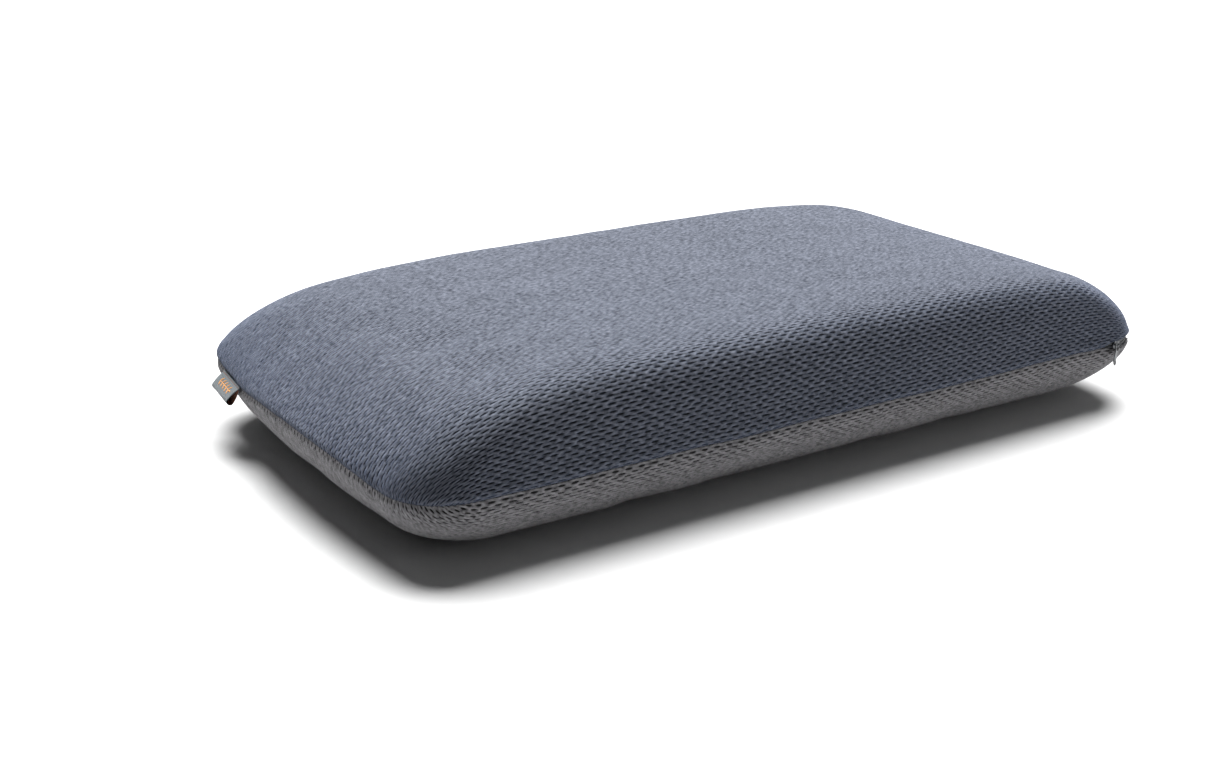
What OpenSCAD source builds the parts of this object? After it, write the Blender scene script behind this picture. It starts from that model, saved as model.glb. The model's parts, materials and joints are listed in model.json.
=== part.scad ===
// Memory-foam floor pad in a zipped, knitted spacer-mesh cover.
// Origin: centre of the resting face. +X runs along the length, +Z is up.
// The long front side faces -Y, the zip runs round the +X end.

/* [Pad] */
// Length of the pad over its widest point
pad_length = 710; // [500:5:900]
// Width of the pad
pad_width = 400; // [300:5:500]
// Height of the pad at the middle of its top
pad_height = 120; // [100:1:150]
// Height of the seam that joins the upper and the lower panel
seam_height = 53; // [47:1:56]
// Plan radius of the four corners, at the seam
corner_radius = 50; // [45:1:70]
// Plan radius of the slightly bowed short ends
end_bow_radius = 1200; // [900:50:3000]

/* [Filled shape] */
// How far the top falls from the middle towards the short ends
end_droop = 32; // [0:1:40]
// How suddenly the top falls near the ends
end_droop_power = 4.2; // [2:0.1:6]
// Width of the rounded shoulder along the front
front_shoulder = 28; // [20:1:60]
// Roundness of the front shoulder, where more is squarer
front_shoulder_power = 2.75; // [1.6:0.05:3.5]
// Width of the rounded shoulder along the back
back_shoulder = 84; // [40:1:110]
// Roundness of the back shoulder
back_shoulder_power = 1.75; // [1.6:0.05:3]
// Width of the rounded shoulder at the short ends
end_shoulder = 70; // [30:1:90]
// Roundness of the shoulder at the short ends
end_shoulder_power = 1.75; // [1.6:0.05:3]
// Width of the rounding under the seam
under_shoulder = 66; // [30:1:80]
// Roundness under the seam
under_shoulder_power = 1.55; // [1.5:0.05:3]

/* [Layers] */
// Thickness of the knitted spacer cover
cover_wall = 2.4; // [1.5:0.1:2.6]
// Thickness of the thin liner round the foam
liner_wall = 0.6; // [0.4:0.1:1]
// Free space behind the seam, where the zip slider runs
zip_room = 7; // [7:0.1:9]

/* [Zip] */
// Angle from the front side to the closed slider, round the front right corner
slider_rest_angle = 6; // [6:1:20]
// Half the height of the open strip between the panel edges
strip_half = 3.7; // [3.6:0.1:3.9]
// Half the height of the slider
slider_half = 3.3; // [3:0.1:3.3]
// Length of the slider along the zip
slider_length = 9; // [8:0.5:10]
// Height of one zip tape, from the middle of the zip to its edge
tape_height = 11; // [9:0.5:12]
// Length of the pull tab, from the bar under the bridge to its rounded end
pull_length = 21; // [16:1:26]
// Width of the pull tab's blade
pull_width = 5; // [4:0.5:6]
// How far the pull tab lies away from straight down
pull_lean = 50; // [45:1:55]

/* [Tag] */
// Length of the ribbon tag along the seam
tag_length = 46; // [20:1:48]
// Distance of the tag's middle from the middle of the left end, towards the back
tag_place = 110; // [60:5:115]
// How far the folded ribbon stands out of the seam
tag_reach = 15; // [12:1:20]
// How far the tag hangs below level
tag_sag = 50; // [30:1:55]

/* [Hidden] */

// Number of steps in each stretch of the outline
corner_steps = 11;
end_steps = 6;
side_steps = 12;
// Short steps on the long sides, next to the right corners, where the zip begins and ends
lead_steps = 2;
lead_length = 6;
// Rings between the seam band and the flat of the top, and of the bottom
top_levels = 5;
under_levels = 4;
level_spacing = 0.9;
// Sizes of the rings on the flat of the top, against its last full ring
crown_scales = [0.88, 0.7, 0.4, 0.1];
// Steps in a full turn of the slider's plates, of round holes, of the tag's fold and of a leaf
plate_steps = 180;
hole_steps = 64;
fold_steps = 48;
leaf_steps = 96;
// The panels stand straight for this far on each side of the seam
seam_band = 4;
// Half the gap in which the seam thread lies
seam_gap = 0.15;
thread_half = 0.12;
// The liner's thread lies this far inside the liner's face
seam_inset = 0.1;
// The corners tighten a little towards the top and the bottom
corner_shrink = 0.2;
// Soft layers keep this far apart at the sides, and above and below
side_gap = 0.5;
rise_gap = 1.2;
// The underside is cut flat this far inside the rounding
flat_cut = 2;

// Depths behind the outer face of the seam band
tape_depth = 2.8;
tape_thick = 0.5;
coil_depth = 3.4;
coil_thick = 1.7;
coil_width = 1.5;
chain_gap = 0.6;
stitch_depth = 2.5;
stitch_thick = 0.2;
stitch_low = 5;
stitch_high = 6;
tack_half = 3;
label_depth = 5.4;
label_thick = 0.3;
label_height = 14;
// The label starts at this step of the outline
label_first = 20;

// Slider seen from outside: half of its mouth, slope up to its shoulders, end of the shoulders,
// corner at its tail, and the free space between each rail and the chain
slider_nose = 1.2;
nose_slope = 1;
shoulder_start = 2.4;
shoulder_end = 0.4;
slider_chamfer = 0.9;
tail_corner = 0.8;
rail_gap = 0.3;
blade_end = -1.4;

// Radii from the front right corner's axis, which the slider runs round
plate_thick = 1.2;
outer_plate = corner_radius - 2.5;
inner_plate = corner_radius - zip_room + 0.4;
rail_top = corner_radius - 3.6;
blade_half = 0.35;
bridge_base = outer_plate + plate_thick + 1.8;
bridge_thick = 0.7;
bridge_half = 0.45;
bridge_leg = 0.5;
bridge_middle = 2.15;
// Joined parts of the slider run this far into each other
blade_root = 1;
leg_root = 0.6;

// Pull tab: inner radius and width of its ring, hole in its end, and its lie at rest
pull_pivot = outer_plate + plate_thick + 0.9;
pull_thick = 0.9;
pull_eye = 2.6;
pull_bar = 0.9;
pull_hole = 1.3;
pull_rest_lift = 24;

// Tag, and the sprig woven into it
tag_clear = 0.1;
tag_fold = 5;
tag_thick = 0.5;
motif_thick = 0.25;
motif_length = 28;
motif_pairs = 6;
leaf_length = 4.4;
leaf_width = 2;
leaf_turn = 52;
stem_half = 0.25;
// The sprig lies at this share of the tag's reach, just off the ribbon
motif_place = 0.42;
motif_lift = 0.02;
// Lowest pair of leaves and last leaf, as shares of the sprig's length from its middle
first_leaf = -0.45;
last_leaf = 0.38;

// The liner and the foam keep the zip room at the seam and lie close elsewhere
liner_side = zip_room;
liner_rise = cover_wall + rise_gap;
foam_side = liner_side + liner_wall + side_gap;
foam_rise = liner_rise + liner_wall + rise_gap;

// Steps of the outline at which the zip and its parts begin, just before the front right corner
tape_first = 0;
strip_first = 1;
coil_first = 2;
// Step just past the back right corner, which mirrors step 0
zip_end = 2 * corner_steps + end_steps + 2 * lead_steps;
// The outline has this many points in all
ring_size = 4 * (corner_steps + 1) + 2 * (end_steps - 1) + 2 * (side_steps - 1) + 2 * lead_steps;

// The corner arc meets the bowed end at this angle, and both corner centres lie here
end_angle = asin((pad_width / 2 - corner_radius) / (end_bow_radius - corner_radius));
corner_x = pad_length / 2 - end_bow_radius + (end_bow_radius - corner_radius) * cos(end_angle);
corner_y = pad_width / 2 - corner_radius;
slider_angle = slider_rest_angle - 90;

// Points on an arc, leaving out `skip` points at both ends
function arc(centre, radius, from, to, steps, skip = 0) =
    [for (i = [skip:steps - skip])
        let (angle = from + (to - from) * i / steps)
        [centre.x + radius * cos(angle), centre.y + radius * sin(angle)]];

// Points on a straight line, without its ends
function run(from, to, steps) = [for (i = [1:steps - 1]) from + (to - from) * i / steps];

// Rounded rectangle with bowed ends, counter-clockwise from just before the front right corner.
// `half` is half its size, `middle` its centre.
function outline(half, middle, radius, bow) =
    let (reach = asin((half.y - radius) / (bow - radius)),
         hub = [half.x - bow + (bow - radius) * cos(reach), half.y - radius],
         far = half.x - bow,
         lead = [for (i = [lead_steps:-1:1]) hub.x - i * lead_length],
         loop = concat(
             [for (x = lead) [x, -half.y]],
             arc([hub.x, -hub.y], radius, -90, -reach, corner_steps),
             arc([far, 0], bow, -reach, reach, end_steps, 1),
             arc(hub, radius, reach, 90, corner_steps),
             [for (x = reversed(lead)) [x, half.y]],
             run([lead[0], half.y], [-hub.x, half.y], side_steps),
             arc([-hub.x, hub.y], radius, 90, 180 - reach, corner_steps),
             arc([-far, 0], bow, 180 - reach, 180 + reach, end_steps, 1),
             arc(-hub, radius, 180 + reach, 270, corner_steps),
             run([-hub.x, -half.y], [lead[0], -half.y], side_steps)))
    [for (p = loop) p + middle];

// The share of a shoulder's width that is used up at a share of its height
function tuck(share, power) = 1 - pow(max(1 - pow(share, power), 0), 1 / power);

// Share of the height that a level has reached
function level_share(level, levels) = pow(sin(90 * level / levels), level_spacing);

// Outline at a share of the height above the seam band, `side` inside the outer face
function top_outline(share, side) =
    let (front = front_shoulder * tuck(share, front_shoulder_power),
         back = back_shoulder * tuck(share, back_shoulder_power),
         end = end_shoulder * tuck(share, end_shoulder_power))
    outline([pad_length / 2 - side - end, (pad_width - front - back) / 2 - side],
            [0, (front - back) / 2],
            (corner_radius - side) * (1 - corner_shrink * tuck(share, front_shoulder_power)),
            end_bow_radius - side);

// Outline at a share of the depth below the seam band
function under_outline(share, side) =
    let (inset = side + under_shoulder * tuck(share, under_shoulder_power))
    outline([pad_length / 2 - inset, pad_width / 2 - inset], [0, 0],
            (corner_radius - side) * (1 - corner_shrink * tuck(share, under_shoulder_power)),
            end_bow_radius - side);

// Height of the top over a point, `rise` below the outer face
function top_height(x, rise) =
    pad_height - rise - end_droop * pow(abs(x) / (pad_length / 2), end_droop_power);

// Ring of points above the seam band
function top_ring(share, side, rise) =
    [for (p = top_outline(share, side))
        let (base = seam_height + seam_band)
        [p.x, p.y, base + share * (top_height(p.x, rise) - base)]];

// Ring of points below the seam band, down to `floor`
function under_ring(share, side, floor) =
    [for (p = under_outline(share, side))
        let (base = seam_height - seam_band)
        [p.x, p.y, base - share * (base - floor)]];

// Ring at the panel's edge: it stands off the seam by `gap`, and by `strip` along the zip.
// `way` is 1 for the upper panel and -1 for the lower one.
function edge_ring(side, gap, strip, way) =
    let (loop = top_outline(0, side))
    [for (i = [0:ring_size - 1])
        let (zipped = i >= strip_first && i <= zip_end - strip_first)
        [loop[i].x, loop[i].y, seam_height + way * (zipped ? strip : gap)]];

// Rings of the flat of the top, inside the last full ring
function crown_ring(scale, side, rise) =
    [for (p = top_outline(1, side)) [p.x * scale, p.y * scale, top_height(p.x * scale, rise)]];

// All rings from the edge of the upper panel to the middle of the top
function upper_rings(side, rise, gap, strip) = concat(
    [edge_ring(side, gap, strip, 1)],
    [for (i = [0:top_levels]) top_ring(level_share(i, top_levels), side, rise)],
    [for (scale = crown_scales) crown_ring(scale, side, rise)]);

// All rings from the edge of the lower panel to the flat underneath
function lower_rings(side, floor, gap, strip) = concat(
    [edge_ring(side, gap, strip, -1)],
    [for (i = [0:under_levels]) under_ring(level_share(i, under_levels), side, floor)]);

function reversed(list) = [for (i = [len(list) - 1:-1:0]) list[i]];

function total(list, i = 0) = i == len(list) - 1 ? list[i] : list[i] + total(list, i + 1);

function mean(ring) = total(ring) / len(ring);

// Closed solid through loops of equal length, each counter-clockwise as seen from the last one
module loft(rings) {
    size = len(rings[0]);
    count = len(rings);
    points = concat([for (ring = rings) each ring], [mean(rings[0]), mean(rings[count - 1])]);
    walls = [for (i = [0:count - 2], j = [0:size - 1])
        let (a = i * size + j, b = i * size + (j + 1) % size)
        each [[a, a + size, b + size], [a, b + size, b]]];
    caps = [for (j = [0:size - 1])
        let (next = (j + 1) % size, last = (count - 1) * size)
        each [[j, next, count * size], [last + next, last + j, count * size + 1]]];
    polyhedron(points = points, faces = concat(walls, caps), convexity = 4);
}

// First full ring past the seam band, which the tapes lean towards
function next_ring(side, way) =
    way > 0 ? top_ring(level_share(1, top_levels), side, cover_wall)
            : under_ring(level_share(1, under_levels), side, cover_wall);

// Point on the panel's slope, `high` from the seam: `bend` is on the seam band, `next` above it
function slope_point(bend, next, high) =
    let (rise = abs(next.z - bend.z), share = max(0, high - seam_band) / rise)
    bend + (next - bend) * share;

// Strip that follows the seam between two steps of the outline. Its near edge is `low` from the
// seam and its far edge `high`; past the seam band it leans with the panel in front of it.
module seam_strip(first, last, low, high, depth, thick, way) {
    bends = [for (side = [depth, depth + thick])
        [for (p = top_outline(0, side)) [p.x, p.y, seam_height + way * seam_band]]];
    nexts = [for (side = [depth, depth + thick]) next_ring(side, way)];
    sections = [for (i = [first:last])
        let (far = [for (k = [1, 0]) slope_point(bends[k][i], nexts[k][i], high)],
             bend = [for (k = [0, 1]) bends[k][i]],
             lift = [0, 0, way * (seam_band - low)],
             loop = low < seam_band
                 ? [bend[0] - lift, bend[1] - lift, bend[1], far[0], far[1], bend[0]]
                 : [slope_point(bend[0], nexts[0][i], low), slope_point(bend[1], nexts[1][i], low),
                    far[0], far[1]])
        way > 0 ? loop : reversed(loop)];
    loft(sections);
}

// Flat band round part of the seam, or all of it, from one depth to another
module seam_band_prism(first, last, depth, thick, low, high) {
    outer = top_outline(0, depth);
    inner = top_outline(0, depth + thick);
    steps = [for (i = [first:last]) i % ring_size];
    translate([0, 0, seam_height + low])
        linear_extrude(high - low)
            polygon(concat([for (i = steps) outer[i]], reversed([for (i = steps) inner[i]])));
}

// Puts its children at an angle of the front right corner: +X points out, +Y along the seam
module at_front_corner(angle) {
    translate([corner_x, -corner_y, seam_height]) rotate([0, 0, angle]) children();
}

// Block with its bounds given as [low, high] along each axis
module block(x, y, z) {
    translate([x[0], y[0], z[0]]) cube([x[1] - x[0], y[1] - y[0], z[1] - z[0]]);
}

module foam_core() {
    color("#e8e2c8") {
        lower = lower_rings(foam_side, foam_rise, 0, 0);
        upper = upper_rings(foam_side, foam_rise, 0, 0);
        loft(concat(reversed([for (i = [1:len(lower) - 1]) lower[i]]),
                    [for (i = [1:len(upper) - 1]) upper[i]]));
    }
}

module liner_top() {
    color("#dfe1e4")
        loft(concat(reversed(upper_rings(foam_side - side_gap, foam_rise - rise_gap, seam_gap, seam_gap)),
                    upper_rings(liner_side, liner_rise, seam_gap, seam_gap)));
}

module liner_bottom() {
    color("#dfe1e4")
        loft(concat(reversed(lower_rings(liner_side, liner_rise, seam_gap, seam_gap)),
                    lower_rings(foam_side - side_gap, foam_rise - rise_gap, seam_gap, seam_gap)));
}

// Sewing thread that joins the two halves of the liner
module liner_seam_thread() {
    thread_depth = liner_side + seam_inset;
    thread_width = 0.4;
    color("#f2f2f0")
        linear_extrude_at(-thread_half, thread_half)
            difference() {
                polygon(top_outline(0, thread_depth));
                polygon(top_outline(0, thread_depth + thread_width));
            }
}

// Extrudes a flat shape between two heights counted from the seam
module linear_extrude_at(low, high) {
    translate([0, 0, seam_height + low]) linear_extrude(high - low) children();
}

module cover_top() {
    color("#56606c")
        loft(concat(reversed(upper_rings(cover_wall, cover_wall, seam_gap, strip_half)),
                    upper_rings(0, 0, seam_gap, strip_half)));
}

module cover_bottom() {
    color("#5f656b")
        difference() {
            loft(concat(reversed(lower_rings(0, -flat_cut, seam_gap, strip_half)),
                        lower_rings(cover_wall, cover_wall, seam_gap, strip_half)));
            block([-pad_length, pad_length], [-pad_width, pad_width], [-pad_height, 0]);
        }
}

// Sewing thread of the cover's seam, everywhere but along the zip
module cover_seam_thread() {
    thread_depth = 0.6;
    thread_width = 1;
    color("#3b434d")
        seam_band_prism(zip_end, ring_size, thread_depth, thread_width, -thread_half, thread_half);
}

module zip_tape(way) {
    color("#3f464f")
        seam_strip(tape_first, zip_end - tape_first, chain_gap, tape_height,
                   tape_depth, tape_thick, way);
}

module zip_tape_upper() {
    zip_tape(1);
}

module zip_tape_lower() {
    zip_tape(-1);
}

// Coil of one side of the chain, shown as the bar that it fills
module zip_coil(low) {
    color("#33393f")
        seam_band_prism(coil_first, zip_end - coil_first, coil_depth, coil_thick,
                        low, low + coil_width);
}

module zip_coil_upper() {
    zip_coil(chain_gap);
}

module zip_coil_lower() {
    zip_coil(-chain_gap - coil_width);
}

// Row of stitching that holds a tape against the inside of its panel
module zip_stitch(way) {
    color("#2f353c")
        seam_strip(strip_first, zip_end - strip_first, stitch_low, stitch_high,
                   stitch_depth, stitch_thick, way);
}

module zip_stitch_upper() {
    zip_stitch(1);
}

module zip_stitch_lower() {
    zip_stitch(-1);
}

// Bar tack sewn across both tapes, which stops the slider at an end of the zip
module zip_tack(first, last) {
    color("#2f353c")
        seam_band_prism(first, last, stitch_depth, stitch_thick, -tack_half, tack_half);
}

module zip_tack_front() {
    zip_tack(tape_first, strip_first);
}

module zip_tack_back() {
    zip_tack(zip_end - strip_first, zip_end - tape_first);
}

// Ring segment centred on +X, between two radii and two heights
module curved_plate(inner, outer, low, high, length) {
    sweep = 2 * asin(length / 2 / outer);
    rotate([0, 0, -sweep / 2])
        rotate_extrude(angle = sweep, $fn = plate_steps)
            translate([inner, low]) square([outer - inner, high - low]);
}

// Outline of the slider from outside: its two shoulders spread at the open mouth, towards -Y
module slider_shape() {
    mouth = -slider_length / 2;
    tail = slider_length / 2;
    waist = slider_half - slider_chamfer;
    upper = [[mouth, slider_nose], [mouth + nose_slope, waist], [mouth + shoulder_start, slider_half],
             [shoulder_end, slider_half], [tail - tail_corner, waist], [tail, waist - slider_chamfer]];
    polygon(concat(upper, reversed([for (p = upper) [p.x, -p.y]])));
}

// Slider of cast metal: outer plate, inner plate with two rails, and the blade between them that
// parts the chain. A small bridge on the outer plate holds the pull tab.
module slider_body() {
    rail_low = coil_width + chain_gap + rail_gap;
    color("#5c6063")
        at_front_corner(slider_angle) {
            intersection() {
                union() {
                    curved_plate(outer_plate, outer_plate + plate_thick, -slider_half, slider_half,
                                 slider_length);
                    curved_plate(inner_plate, inner_plate + plate_thick, -slider_half, slider_half,
                                 slider_length);
                    for (side = [-slider_half, rail_low])
                        curved_plate(inner_plate, rail_top, side, side + slider_half - rail_low,
                                     slider_length);
                    block([inner_plate + blade_root, outer_plate + blade_root],
                          [slider_chamfer - slider_length / 2, blade_end], [-blade_half, blade_half]);
                }
                translate([inner_plate - 3, 0, 0])
                    rotate([90, 0, 90])
                        linear_extrude(outer_plate + plate_thick - inner_plate + 6) slider_shape();
            }
            for (side = [-1, 1])
                block([outer_plate + leg_root, bridge_base + bridge_thick],
                      [side * bridge_middle - bridge_leg / 2, side * bridge_middle + bridge_leg / 2],
                      [-bridge_half, bridge_half]);
            block([bridge_base, bridge_base + bridge_thick], [-bridge_middle, bridge_middle],
                  [-bridge_half, bridge_half]);
        }
}

// Puts its children at the pull tab's hinge: -Z runs along the tab, +X is its outer face
module at_pull() {
    at_front_corner(slider_angle)
        translate([pull_pivot, 0, 0])
            rotate([-pull_lean, 0, 0])
                rotate([0, -pull_rest_lift, 0]) children();
}

// Pull tab: a ring that hangs under the bridge, a flat blade and a rounded end with a hole
module pull_tab() {
    ring_middle = pull_eye + pull_bar / 2;
    end_middle = pull_length - pull_width / 2;
    color("#6a6e71")
        at_pull()
            translate([-pull_thick / 2, 0, 0])
                rotate([0, 90, 0])
                    difference() {
                        linear_extrude(pull_thick)
                            union() {
                                translate([ring_middle, 0])
                                    circle(r = pull_eye + pull_bar, $fn = hole_steps);
                                translate([ring_middle, -pull_width / 2])
                                    square([end_middle - ring_middle, pull_width]);
                                translate([end_middle, 0]) circle(d = pull_width, $fn = hole_steps);
                            }
                        for (hole = [[ring_middle, pull_eye], [end_middle, pull_hole]])
                            translate([hole[0], 0, -1])
                                cylinder(r = hole[1], h = pull_thick + 2, $fn = hole_steps);
                    }
}

// Puts its children at the tag: +X runs out of the seam and down, +Y along the seam
module at_tag() {
    translate([end_bow_radius - pad_length / 2, 0, seam_height])
        rotate([0, 0, 180 - asin(tag_place / end_bow_radius)])
            translate([end_bow_radius + tag_clear, 0, 0])
                rotate([0, tag_sag, 0]) children();
}

// Section of the folded ribbon: two arcs that meet at the seam, with a rounded fold
module tag_section(inset) {
    fold = tag_fold / 2 - inset;
    middle = tag_reach - tag_fold / 2;
    slope = asin(tag_fold / 2 / middle);
    union() {
        translate([middle, 0]) circle(r = fold, $fn = fold_steps);
        polygon([[inset / sin(slope), 0],
                 [middle - fold * sin(slope), -fold * cos(slope)],
                 [middle - fold * sin(slope), fold * cos(slope)]]);
    }
}

// Ribbon tag, folded into a loop and caught in the seam by both ends
module side_tag() {
    color("#6f767c")
        at_tag()
            translate([0, tag_length / 2, 0])
                rotate([90, 0, 0])
                    linear_extrude(tag_length)
                        difference() {
                            tag_section(0);
                            tag_section(tag_thick);
                        }
}

// Leaf between two arcs, along +X from the origin
module leaf(length, width) {
    radius = (length * length / 4 + width * width / 4) / width;
    translate([length / 2, 0])
        intersection() {
            translate([0, radius - width / 2]) circle(r = radius, $fn = leaf_steps);
            translate([0, width / 2 - radius]) circle(r = radius, $fn = leaf_steps);
        }
}

// Sprig of leaves woven into the tag's outer face, standing proud of it by the yarn's height
module tag_motif() {
    slope = asin(tag_fold / 2 / (tag_reach - tag_fold / 2));
    color("#d08a2c")
        at_tag()
            rotate([0, -slope, 0])
                translate([0, 0, motif_lift])
                    linear_extrude(motif_thick)
                        translate([tag_reach * motif_place, 0])
                            union() {
                                translate([-stem_half, -motif_length / 2])
                                    square([2 * stem_half, motif_length]);
                                for (step = [0:motif_pairs - 1], side = [-1, 1])
                                    translate([0, motif_length * (step / motif_pairs + first_leaf)])
                                        rotate([0, 0, 90 - side * leaf_turn]) leaf(leaf_length, leaf_width);
                                translate([0, motif_length * last_leaf])
                                    rotate([0, 0, 90]) leaf(leaf_length, leaf_width);
                            }
}

// Care label, sewn behind the lower tape near the back end of the zip
module care_label() {
    color("#eceff0")
        seam_strip(label_first, label_first + 4, 1, label_height, label_depth, label_thick, -1);
}

foam_core();
liner_top();
liner_bottom();
liner_seam_thread();
cover_top();
cover_bottom();
cover_seam_thread();
zip_tape_upper();
zip_tape_lower();
zip_coil_upper();
zip_coil_lower();
zip_stitch_upper();
zip_stitch_lower();
zip_tack_front();
zip_tack_back();
slider_body();
pull_tab();
side_tag();
tag_motif();
care_label();
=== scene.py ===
import json
import logging
import math
from dataclasses import dataclass, field, replace
from enum import Enum
from typing import Callable, Iterable, Optional, Sequence

import bmesh
import bpy
import numpy as np
from mathutils import Matrix, Vector, noise
from mathutils.bvhtree import BVHTree


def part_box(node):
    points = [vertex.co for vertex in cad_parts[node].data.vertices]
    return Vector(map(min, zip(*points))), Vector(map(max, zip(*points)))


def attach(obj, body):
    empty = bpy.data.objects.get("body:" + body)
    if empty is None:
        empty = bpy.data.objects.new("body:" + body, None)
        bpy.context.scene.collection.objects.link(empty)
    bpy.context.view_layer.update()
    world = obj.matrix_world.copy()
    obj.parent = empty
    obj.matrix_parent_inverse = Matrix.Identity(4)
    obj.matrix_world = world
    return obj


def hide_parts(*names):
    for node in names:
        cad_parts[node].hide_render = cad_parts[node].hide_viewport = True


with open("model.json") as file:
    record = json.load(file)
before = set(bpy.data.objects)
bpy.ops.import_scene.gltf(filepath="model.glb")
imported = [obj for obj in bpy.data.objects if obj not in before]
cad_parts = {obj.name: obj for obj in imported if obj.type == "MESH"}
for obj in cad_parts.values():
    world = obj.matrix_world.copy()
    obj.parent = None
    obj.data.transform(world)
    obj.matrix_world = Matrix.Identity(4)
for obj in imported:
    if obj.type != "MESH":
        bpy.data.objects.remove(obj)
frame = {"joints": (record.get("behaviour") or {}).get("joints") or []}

log = logging.getLogger("pad")

# Meshes are built in millimetres and brought to metres when they are finished.
MM = 0.001

# Half the gap between the panels' edges, in millimetres: where they are sewn and along the zip.
SEAM_GAP_HALF = 0.15
ZIP_OPENING_HALF = 3.6

Point = tuple[float, float, float]


# ---------------------------------------------------------------- small helpers


def smooth_step(value: float, start: float, end: float) -> float:
    """Rises softly from 0 at start to 1 at end.

    Args:
        value: Where to read the curve.
        start: Value at which it leaves 0.
        end: Value at which it reaches 1.

    Returns:
        A share from 0 to 1.
    """
    share = min(max((value - start) / (end - start), 0.0), 1.0)
    return share * share * (3 - 2 * share)


def linear_colour(code: str) -> tuple[float, float, float, float]:
    """Turns an sRGB hex colour into the linear colour that shaders take.

    Args:
        code: Colour such as "#5a6470".

    Returns:
        Linear red, green and blue, and an alpha of 1.
    """
    shares = [int(code[place : place + 2], 16) / 255 for place in (1, 3, 5)]
    linear = [s / 12.92 if s <= 0.04045 else ((s + 0.055) / 1.055) ** 2.4 for s in shares]
    return (linear[0], linear[1], linear[2], 1.0)


def finish_piece(
    name: str,
    shape: bmesh.types.BMesh,
    material: bpy.types.Material,
    replaced: Sequence[str] = (),
    body: str = "root",
    outward: bool = True,
) -> bpy.types.Object:
    """Makes a finished object from a shape in millimetres and puts it on its body.

    Args:
        name: Name of the piece.
        shape: The shape, which is used up.
        material: Its finish.
        replaced: CAD nodes that the piece stands for.
        body: CAD body that it moves with.
        outward: Whether its normals are worked out again to point outwards.

    Returns:
        The object, at the origin and in metres.
    """
    if outward:
        bmesh.ops.recalc_face_normals(shape, faces=shape.faces[:])
    bmesh.ops.scale(shape, vec=(MM, MM, MM), verts=shape.verts[:])
    for face in shape.faces:
        face.smooth = True
    mesh = bpy.data.meshes.new(name)
    shape.to_mesh(mesh)
    shape.free()
    piece = bpy.data.objects.new(name, mesh)
    bpy.context.scene.collection.objects.link(piece)
    mesh.materials.append(material)
    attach(piece, body)
    if replaced:
        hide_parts(*replaced)
    return piece


def soften(piece: bpy.types.Object, width: float, segments: int = 2) -> None:
    """Gives a hard piece rounded edges.

    Args:
        piece: The piece.
        width: Width of the rounding in millimetres.
        segments: Number of faces across the rounding.
    """
    rounding = piece.modifiers.new("rounded edges", "BEVEL")
    rounding.width = width * MM
    rounding.segments = segments
    rounding.limit_method = "ANGLE"
    rounding.angle_limit = math.radians(30)
    rounding.harden_normals = True


def sweep(
    shape: bmesh.types.BMesh, sections: Sequence[Sequence[Point]], closed: bool, capped: bool = True
) -> None:
    """Draws a section along a path, by extruding its edges from each place to the next.

    Args:
        shape: Shape to add to.
        sections: The section's points at each place on the path, always in the same order.
        closed: Whether the section is a loop.
        capped: Whether a closed section's two ends are filled.
    """
    verts = [shape.verts.new(point) for point in sections[0]]
    pairs = list(zip(verts, verts[1:] + verts[:1])) if closed else list(zip(verts, verts[1:]))
    edges = [shape.edges.new(pair) for pair in pairs]
    ends = [list(edges)]
    for section in sections[1:]:
        grown = bmesh.ops.extrude_edge_only(shape, edges=edges)["geom"]
        fresh = {item for item in grown if isinstance(item, bmesh.types.BMVert)}
        edges = [
            item
            for item in grown
            if isinstance(item, bmesh.types.BMEdge) and all(vert in fresh for vert in item.verts)
        ]
        moved = []
        for vert, point in zip(verts, section):
            partner = next(
                edge.other_vert(vert) for edge in vert.link_edges if edge.other_vert(vert) in fresh
            )
            partner.co = point
            moved.append(partner)
        verts = moved
    ends.append(list(edges))
    if closed and capped:
        for end in ends:
            bmesh.ops.contextual_create(shape, geom=end)


def repeat_shape(unit: bmesh.types.BMesh, places: Sequence[Matrix]) -> bmesh.types.BMesh:
    """Sets one shape in many places, such as the stitches of a row.

    Args:
        unit: The shape, which is used up.
        places: Where each copy goes.

    Returns:
        All copies in one shape.
    """
    unit.verts.index_update()
    points = np.array([(*vert.co, 1.0) for vert in unit.verts])
    faces = [[vert.index for vert in face.verts] for face in unit.faces]
    unit.free()
    copies = np.vstack([(points @ np.array(place).T)[:, :3] for place in places])
    shifted = [
        [index + copy * len(points) for index in face] for copy in range(len(places)) for face in faces
    ]
    mesh = bpy.data.meshes.new("repeat")
    mesh.from_pydata(copies.tolist(), [], shifted)
    shape = bmesh.new()
    shape.from_mesh(mesh)
    bpy.data.meshes.remove(mesh)
    return shape


# ---------------------------------------------------------------- finishes


def add_node(
    tree: bpy.types.NodeTree, kind: str, inputs: Optional[dict] = None, **settings: object
) -> bpy.types.Node:
    """Adds a node with its settings and links.

    Args:
        tree: Node tree to add to.
        kind: Type of the node, without the "ShaderNode" that it begins with.
        inputs: For each input, by name or number, a value, or the node or output that feeds it.
        settings: Properties of the node.

    Returns:
        The node.
    """
    node = tree.nodes.new("ShaderNode" + kind)
    for key, value in settings.items():
        setattr(node, key, value)
    for key, value in (inputs or {}).items():
        source = value.outputs[0] if isinstance(value, bpy.types.Node) else value
        if isinstance(source, bpy.types.NodeSocket):
            tree.links.new(source, node.inputs[key])
        else:
            node.inputs[key].default_value = source
    return node


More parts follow.
